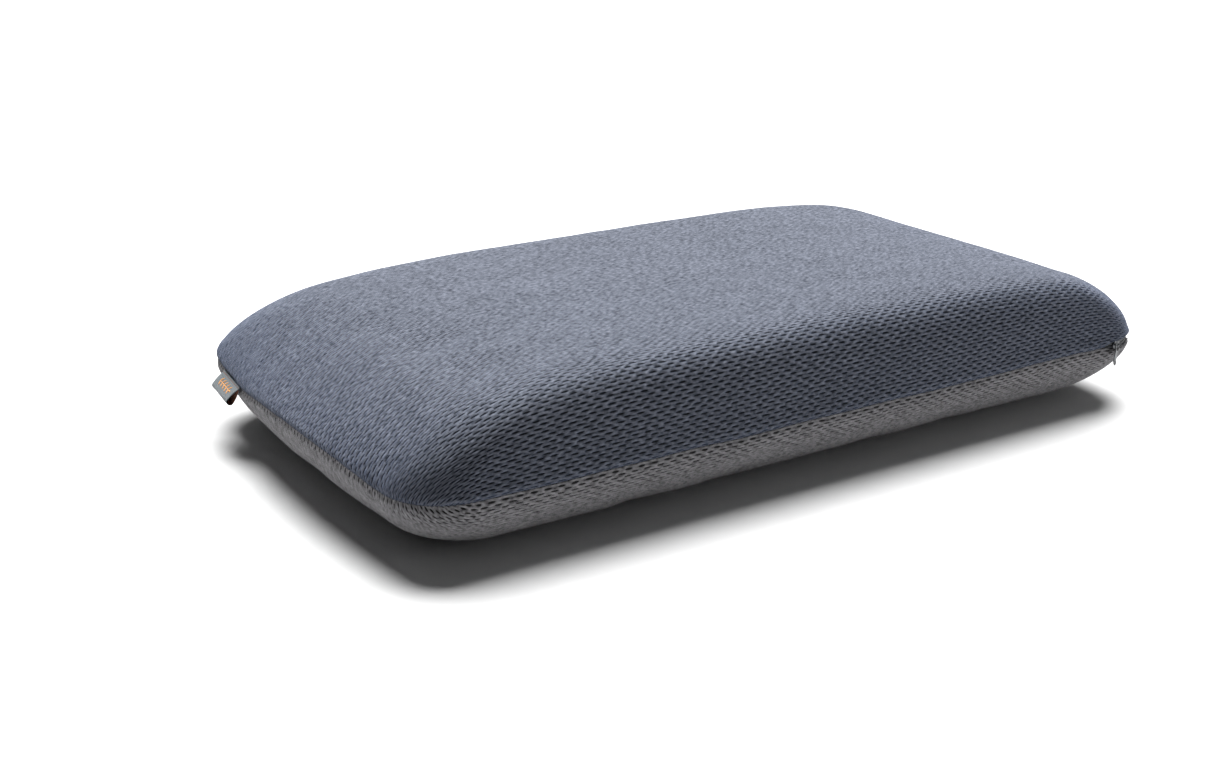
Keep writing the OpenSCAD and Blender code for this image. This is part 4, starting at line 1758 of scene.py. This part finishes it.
@dataclass
class Filling:
    """What the cover holds: the foam block in its thin knitted liner, and the washing label."""

    form: PadForm
    path: SeamPath
    foam: MemoryFoam
    liner: WovenRibbon
    thread: SpunThread
    label: SatinLabel
    foam_depth: float = 8.1
    foam_rise: float = 5.4
    liner_depth: float = 7.0
    liner_rise: float = 3.6
    liner_thick: float = 0.5

    def panel_shape(self, grid: PanelGrid) -> bmesh.types.BMesh:
        """Makes a smooth panel, facing outwards, from a grid inside the cover."""
        mesh = grid.to_mesh("panel", grid.solid)
        shape = bmesh.new()
        shape.from_mesh(mesh)
        bpy.data.meshes.remove(mesh)
        if grid.side is Side.LOWER:
            bmesh.ops.reverse_faces(shape, faces=shape.faces[:])
        return shape

    def build(self) -> None:
        """Builds the foam, the liner's two halves, its seam and the label."""
        grids = [self.form.panel(side, self.foam_depth, self.foam_rise) for side in Side]
        halves = [self.panel_shape(grid) for grid in grids]
        mesh = bpy.data.meshes.new("lower half")
        halves[1].to_mesh(mesh)
        halves[1].free()
        shape = halves[0]
        shape.from_mesh(mesh)
        bpy.data.meshes.remove(mesh)
        rim = [edge for edge in shape.edges if edge.is_boundary]
        bmesh.ops.bridge_loops(shape, edges=rim)
        foam = finish_piece("foam_block", shape, self.foam.build(), ["foam_core"])
        for side, word in ((Side.UPPER, "top"), (Side.LOWER, "bottom")):
            grid = self.form.panel(side, self.liner_depth, self.liner_rise)
            shape = self.panel_shape(grid)
            area = sum(face.calc_area() for face in shape.faces)
            bmesh.ops.solidify(shape, geom=shape.faces[:], thickness=self.liner_thick)
            half = finish_piece(f"liner_{word}_knit", shape, self.liner.build(), [f"liner_{word}"])
        row = StitchRow("liner_seam_sewn", "liner_thread", self.thread, ["liner_seam_thread"], radius=0.15)
        row.build(seam_places(self.path, row, 0.0, self.path.total, self.liner_depth + 0.3))
        self.build_label()

    def build_label(self) -> None:
        """Hangs the washing label behind the lower tape."""
        start = self.path.length_to(3) + 22.0
        sections = []
        for run in steps_between(start, start + 26.0, 2.0):
            loop = [(5.5, -1.2), (5.5, -6.0), (7.5, -13.5), (7.8, -13.4), (5.8, -6.0), (5.8, -1.2)]
            sections.append([self.path.point(run, depth, high) for depth, high in loop])
        shape = bmesh.new()
        sweep(shape, sections, closed=True)
        label = finish_piece("care_label_satin", shape, self.label.build(), ["care_label"])


def seam_places(
    path: SeamPath, row: StitchRow, start: float, end: float, depth: float
) -> list[tuple[Vector, Vector]]:
    """Places stitches along the seam.

    Args:
        path: The seam.
        row: The row, for its spacing.
        start: Where it begins.
        end: Where it ends.
        depth: How far behind the outer face it lies.

    Returns:
        The middle of each stitch and its direction.
    """
    places = []
    for run in steps_between(start, end, row.spacing)[:-1]:
        here = path.point(run + row.spacing / 2, depth)
        ahead = path.point(run + row.spacing / 2 + 0.5, depth)
        lift = Vector((0, 0, path.form.wander(here.x, here.y)))
        places.append((here + lift, ahead - here))
    return places


# ---------------------------------------------------------------- camera, light and floor


@dataclass(frozen=True)
class Studio:
    """Floor, lights and camera."""

    aim: Point = (-0.0618, 0.0201, 0.0154)
    turn: float = -32.47
    raise_angle: float = 19.96
    roll: float = 0.03
    distance: float = 1.293
    lens: float = 46.08
    ceiling_place: Point = (1.0, 1.4, 3.0)
    ceiling_strength: float = 11.0
    ceiling_spread: float = 50.0
    softbox_place: Point = (1.9, -1.3, 0.3)
    softbox_target: Point = (0.2, -0.2, 0.05)
    softbox_side: float = 0.8
    softbox_power: float = 9.0
    backdrop_strength: float = 0.12

    def place_camera(self) -> None:
        """Puts the camera at its angle and makes it the scene's."""
        turn, lift = math.radians(self.turn), math.radians(self.raise_angle)
        back = Vector((math.sin(turn) * math.cos(lift), -math.cos(turn) * math.cos(lift), math.sin(lift)))
        right = Vector((math.cos(turn), math.sin(turn), 0.0))
        above = back.cross(right)
        data = bpy.data.cameras.new("camera")
        data.lens = self.lens
        data.sensor_width = 36.0
        data.clip_end = 100.0
        camera = bpy.data.objects.new("camera", data)
        axes = Matrix((right, above, back)).transposed().to_4x4()
        tilt = Matrix.Rotation(math.radians(self.roll), 4, "Z")
        camera.matrix_world = Matrix.Translation(Vector(self.aim) + back * self.distance) @ axes @ tilt
        bpy.context.scene.collection.objects.link(camera)
        bpy.context.scene.camera = camera

    def aim_light(self, data: bpy.types.Light, place: Point, target: Point) -> None:
        """Hangs a light and points it at its target.

        Args:
            data: The light.
            place: Where it hangs.
            target: What it points at.
        """
        light = bpy.data.objects.new(data.name, data)
        light.location = place
        direction = Vector(target) - Vector(place)
        light.rotation_euler = direction.to_track_quat("-Z", "Y").to_euler()
        bpy.context.scene.collection.objects.link(light)

    def light_scene(self) -> None:
        """Sets up a wide, even light from the back right and a weak softbox low at the right."""
        ceiling = bpy.data.lights.new("bright ceiling", "SUN")
        ceiling.energy = self.ceiling_strength
        ceiling.angle = math.radians(self.ceiling_spread)
        self.aim_light(ceiling, self.ceiling_place, (0.0, 0.0, 0.0))
        side = bpy.data.lights.new("low softbox", "AREA")
        side.shape = "SQUARE"
        side.size = self.softbox_side
        side.energy = self.softbox_power
        self.aim_light(side, self.softbox_place, self.softbox_target)

    def build(self) -> None:
        """Sets up the floor, the lights and the background."""
        shape = bmesh.new()
        bmesh.ops.create_grid(shape, x_segments=2, y_segments=2, size=12.0)
        mesh = bpy.data.meshes.new("floor")
        shape.to_mesh(mesh)
        shape.free()
        floor = bpy.data.objects.new("floor", mesh)
        mesh.materials.append(PaintedFloor().build())
        bpy.context.scene.collection.objects.link(floor)
        self.light_scene()
        world = bpy.data.worlds.new("studio")
        bpy.context.scene.world = world
        world.use_nodes = True
        backdrop = world.node_tree.nodes["Background"]
        backdrop.inputs["Color"].default_value = linear_colour("#f4f6f8")
        backdrop.inputs["Strength"].default_value = self.backdrop_strength
        bpy.context.scene.view_settings.view_transform = "Standard"


def main() -> None:
    """Builds the pad and its studio, and logs how far the cloth settled and the face counts of the knitted
    panels, the zip's tapes and its coils.
    """
    logging.basicConfig(level=logging.INFO, format="%(message)s")
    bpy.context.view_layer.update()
    studio = Studio()
    studio.place_camera()
    cover = StuffedCover(PadForm.from_cad())
    cover.build()
    upper = SpacerKnit(
        name="melange spacer mesh",
        shade="#1e2127",
        light="#6c707b",
        # depth: near black, painted shade inside the openings.
        depth="#060708",
        sheen=0.26,
        sheen_tint="#a9c0f2",
    )
    lower = SpacerKnit(
        name="grey spacer mesh",
        shade="#39383b",
        # depth: near black, painted shade inside the openings.
        light="#919093",
        depth="#0a0a0b",
        sheen=0.3,
        sheen_tint="#e8e6e8",
    )
    KnittedPanel(cover, Side.UPPER, "upper_panel", "cover_top", "cover_upper", upper).build()
    KnittedPanel(cover, Side.LOWER, "lower_panel", "cover_bottom", "cover_lower", lower).build()
    form = cover.form
    path = SeamPath(form)
    thread = SpunThread("polyester sewing thread", "#23272d", "#3a414b", twist=0.3, roughness=0.6)
    tape = WovenRibbon("woven zip tape", "#1b1e22", "#34383d", rib=0.7)
    coil = SpunThread("polyester monofilament", "#1e2125", "#43484e", twist=0.5, roughness=0.4)
    metal = CastMetal("gunmetal-plated zinc", "#3b3d40", "#6a6c6e")
    row = StitchRow("cover_seam_sewn", "cover_thread", thread, ["cover_seam_thread"])
    # The row runs a little way under the zip's tapes at both ends.
    first, last, depth = path.zip_length - 10.0, path.total + 2.0, 1.3
    row.build(seam_places(path, row, first, last, depth))
    Zip(path, tape, coil, thread).build()
    ZipSlider.from_cad(path, metal).build()
    ribbon = WovenRibbon(
        "double-faced tag ribbon", "#454c50", "#5c6468", rib=0.6, ribs_along="Y", back="#7a3d12"
    )
    yarn = SpunThread("amber rayon yarn", "#b06c0e", "#dc9526", twist=0.4, roughness=0.45)
    SideTag(form, ribbon, yarn).build()
    liner = WovenRibbon("thin liner jersey", "#cfd2d6", "#eceef0", rib=0.8)
    white = SpunThread("white sewing thread", "#dcdcd8", "#f4f4f0", twist=0.3, roughness=0.6)
    Filling(form, path, MemoryFoam(), liner, white, SatinLabel()).build()
    studio.build()


if __name__ == "__main__":
    main()
